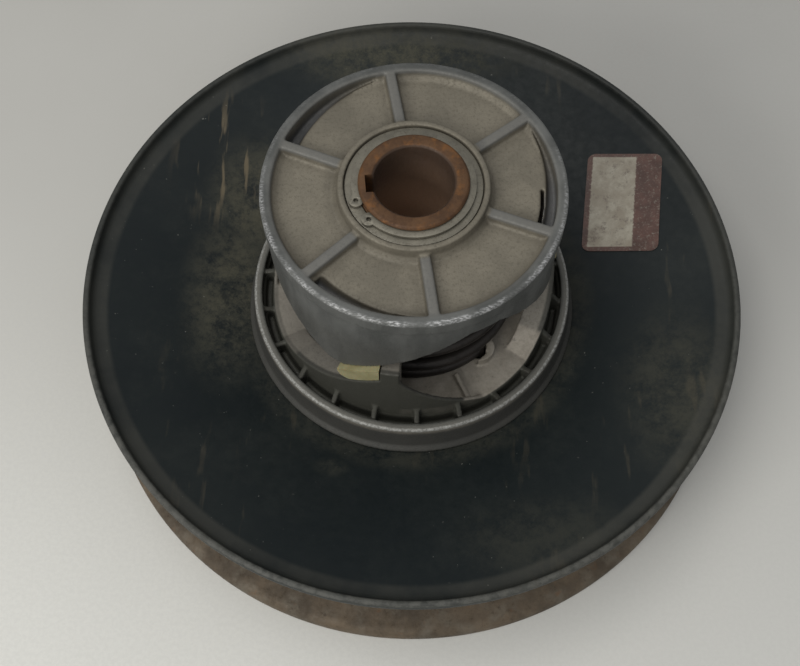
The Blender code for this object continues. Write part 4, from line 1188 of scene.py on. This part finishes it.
def torsion_spring(paint):
    """The closing spring: a coil with flat end turns between the hub's plateau and the bracket's web."""
    total = 360 * SPRING_TURNS
    count = round(total / 5.0)
    points = [polar(SPRING_R, SPRING_START_DEG, SPRING_LOW_Z - SPRING_LEG)]
    for i in range(count + 1):
        turn = total * i / count
        points.append(polar(SPRING_R, SPRING_START_DEG - turn, spring_height(turn)))
    points.append(polar(SPRING_R, SPRING_START_DEG - total, SPRING_TOP_Z + SPRING_LEG))
    curve = bpy.data.curves.new("fine_spring", "CURVE")
    curve.dimensions = "3D"
    curve.bevel_depth = WIRE_R * MM
    curve.bevel_resolution = 5
    curve.use_fill_caps = True
    spline = curve.splines.new("POLY")
    spline.points.add(len(points) - 1)
    for point, place in zip(spline.points, points):
        point.co = (*(place * MM), 1.0)
    wire = bpy.data.objects.new("fine_spring_wire", curve)
    bpy.context.scene.collection.objects.link(wire)
    graph = bpy.context.evaluated_depsgraph_get()
    mesh = bpy.data.meshes.new_from_object(wire.evaluated_get(graph))
    bpy.data.objects.remove(wire)
    bm = bmesh.new()
    bm.from_mesh(mesh)
    bmesh.ops.remove_doubles(bm, verts=bm.verts, dist=0.00001)
    bmesh.ops.recalc_face_normals(bm, faces=bm.faces)
    bm.to_mesh(mesh)
    bm.free()
    obj = bpy.data.objects.new("fine_torsion_spring", mesh)
    bpy.context.scene.collection.objects.link(obj)
    smooth_turned(obj, 50.0)
    place_piece(obj, paint, "fixed", "spring_steel", "torsion_spring")
    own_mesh(obj)


def rounded_place(x, y):
    """Moves a point of the plain rectangle so that its corners become round."""
    inset = (abs(x) - LABEL_SIZE[0] / 2 + LABEL_CORNER_R, abs(y) - LABEL_SIZE[1] / 2 + LABEL_CORNER_R)
    if min(inset) <= 0:
        return x, y
    share = 1 - max(inset) / math.hypot(*inset)
    return x - math.copysign(inset[0] * share, x), y - math.copysign(inset[1] * share, y)


def label(paint):
    """A thin film that follows the cone, with a slight wrinkle."""
    bm = bmesh.new()
    bmesh.ops.create_grid(bm, x_segments=56, y_segments=80, size=0.5)
    turn = Matrix.Rotation(math.radians(LABEL_TURN_DEG), 2)
    for vert in bm.verts:
        x, y = rounded_place(vert.co.x * LABEL_SIZE[0], vert.co.y * LABEL_SIZE[1])
        flat = turn @ Vector((x, y)) + Vector(LABEL_CENTRE)
        wrinkle = 0.05 * noise.noise(Vector((x, y, 0)) * 0.25)
        vert.co = Vector((flat.x, flat.y, cone_top_z(flat.length) + GAP - 0.1 + wrinkle))
    raised = bmesh.ops.extrude_face_region(bm, geom=list(bm.faces))
    verts = [v for v in raised["geom"] if isinstance(v, bmesh.types.BMVert)]
    bmesh.ops.translate(bm, verts=verts, vec=(0, 0, 0.2))
    obj = object_from("fine_label", bm)
    smooth_turned(obj, 50.0)
    place_piece(obj, paint, "movable", "label_film", "label")


# --- nodes that keep their shape ---------------------------------------------------------------------


def refinish(node, paint, edge_mm):
    """A better finish and lightly broken edges on a CAD node."""
    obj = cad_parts[node]
    obj.data.materials.clear()
    obj.data.materials.append(paint)
    edge = obj.modifiers.new("edge", "BEVEL")
    edge.width = edge_mm * MM
    edge.segments = 3
    edge.limit_method = "ANGLE"
    edge.angle_limit = math.radians(40)
    edge.harden_normals = True


# --- stage -------------------------------------------------------------------------------------------


def aim(obj, target):
    obj.rotation_euler = (Vector(target) - obj.location).to_track_quat("-Z", "Y").to_euler()


def soft_light(name, place, target, size, power, colour=(1, 1, 1)):
    lamp = bpy.data.lights.new(name, "AREA")
    lamp.shape = "RECTANGLE"
    lamp.size, lamp.size_y = size
    lamp.energy = power
    lamp.color = colour
    obj = bpy.data.objects.new(name, lamp)
    obj.location = place
    bpy.context.scene.collection.objects.link(obj)
    aim(obj, target)


def stage():
    bpy.ops.mesh.primitive_plane_add(size=8.0, location=(0, 0, -0.0002))
    floor = bpy.context.object
    floor.name = "floor"
    floor.data.materials.append(floor_paint())
    world = bpy.data.worlds.new("studio")
    world.use_nodes = True
    backdrop = world.node_tree.nodes["Background"]
    backdrop.inputs["Color"].default_value = (0.93, 0.96, 1.0, 1.0)
    backdrop.inputs["Strength"].default_value = 0.36
    bpy.context.scene.world = world
    soft_light("overhead", (-0.3, -0.15, 1.35), (0, -0.05, 0), (1.1, 0.8), 8.6, (1.0, 0.985, 0.95))
    soft_light("front", (-0.7, -0.95, 0.75), (0, -0.05, 0.03), (0.9, 0.5), 9.0, (1.0, 0.985, 0.95))


def camera():
    """Above and in front of the pulley, 30 degrees off its axis."""
    place = Vector(CAMERA_PLACE)
    elevation = math.atan2(place.z - LIP_TOP_Z * MM, -place.y) + CAMERA_TILT
    level = math.cos(elevation)
    forward = Vector((math.sin(CAMERA_PAN) * level, math.cos(CAMERA_PAN) * level, -math.sin(elevation)))
    right = forward.cross(Vector((0, 0, 1))).normalized()
    up = right.cross(forward)
    side = math.cos(CAMERA_ROLL) * right + math.sin(CAMERA_ROLL) * up
    top = math.cos(CAMERA_ROLL) * up - math.sin(CAMERA_ROLL) * right
    data = bpy.data.cameras.new("camera")
    data.sensor_width = 36.0
    data.lens = CAMERA_LENS
    obj = bpy.data.objects.new("camera", data)
    bpy.context.scene.collection.objects.link(obj)
    matrix = Matrix((side, top, -forward)).transposed().to_4x4()
    matrix.translation = place
    obj.matrix_world = matrix
    bpy.context.scene.camera = obj


camera()
stage()
bpy.context.scene.view_settings.view_transform = "Standard"

black = black_paint()
rust = rusty_steel()
tube = post_steel()
plated = plain_metal("plated_steel", (0.20, 0.185, 0.148), (0.085, 0.07, 0.05), 0.38, 0.6, 0.55)
dark_steel = plain_metal("spring_steel", (0.035, 0.03, 0.026), (0.012, 0.01, 0.009), 0.35, 0.6, 0.5)
bronze = plain_metal("bush_bronze", (0.22, 0.14, 0.065), (0.08, 0.05, 0.025), 0.35, 0.6, 0.8)
yellow = shoe_plastic()

movable_sheave(black)
fixed_sheave(rust)
fixed_hub(rust)
fixed_rivets(rust)
post(tube)
bracket_washer(plated)
retaining_ring(plated)
cam_bracket(bracket_aluminium())
movable_hub(hub_aluminium())
torsion_spring(dark_steel)
label(label_film())

for k in range(SECTORS):
    refinish(f"ramp_shoe_{k + 1}", yellow, 0.5)
    refinish(f"shoe_pin_{k + 1}", plated, 0.2)
for k in range(SCREWS):
    refinish(f"sheave_screw_{k + 1}", plated, 0.25)
for node in ("lower_bush", "upper_bush"):
    refinish(node, bronze, 0.2)
refinish("bracket_key", plated, 0.2)
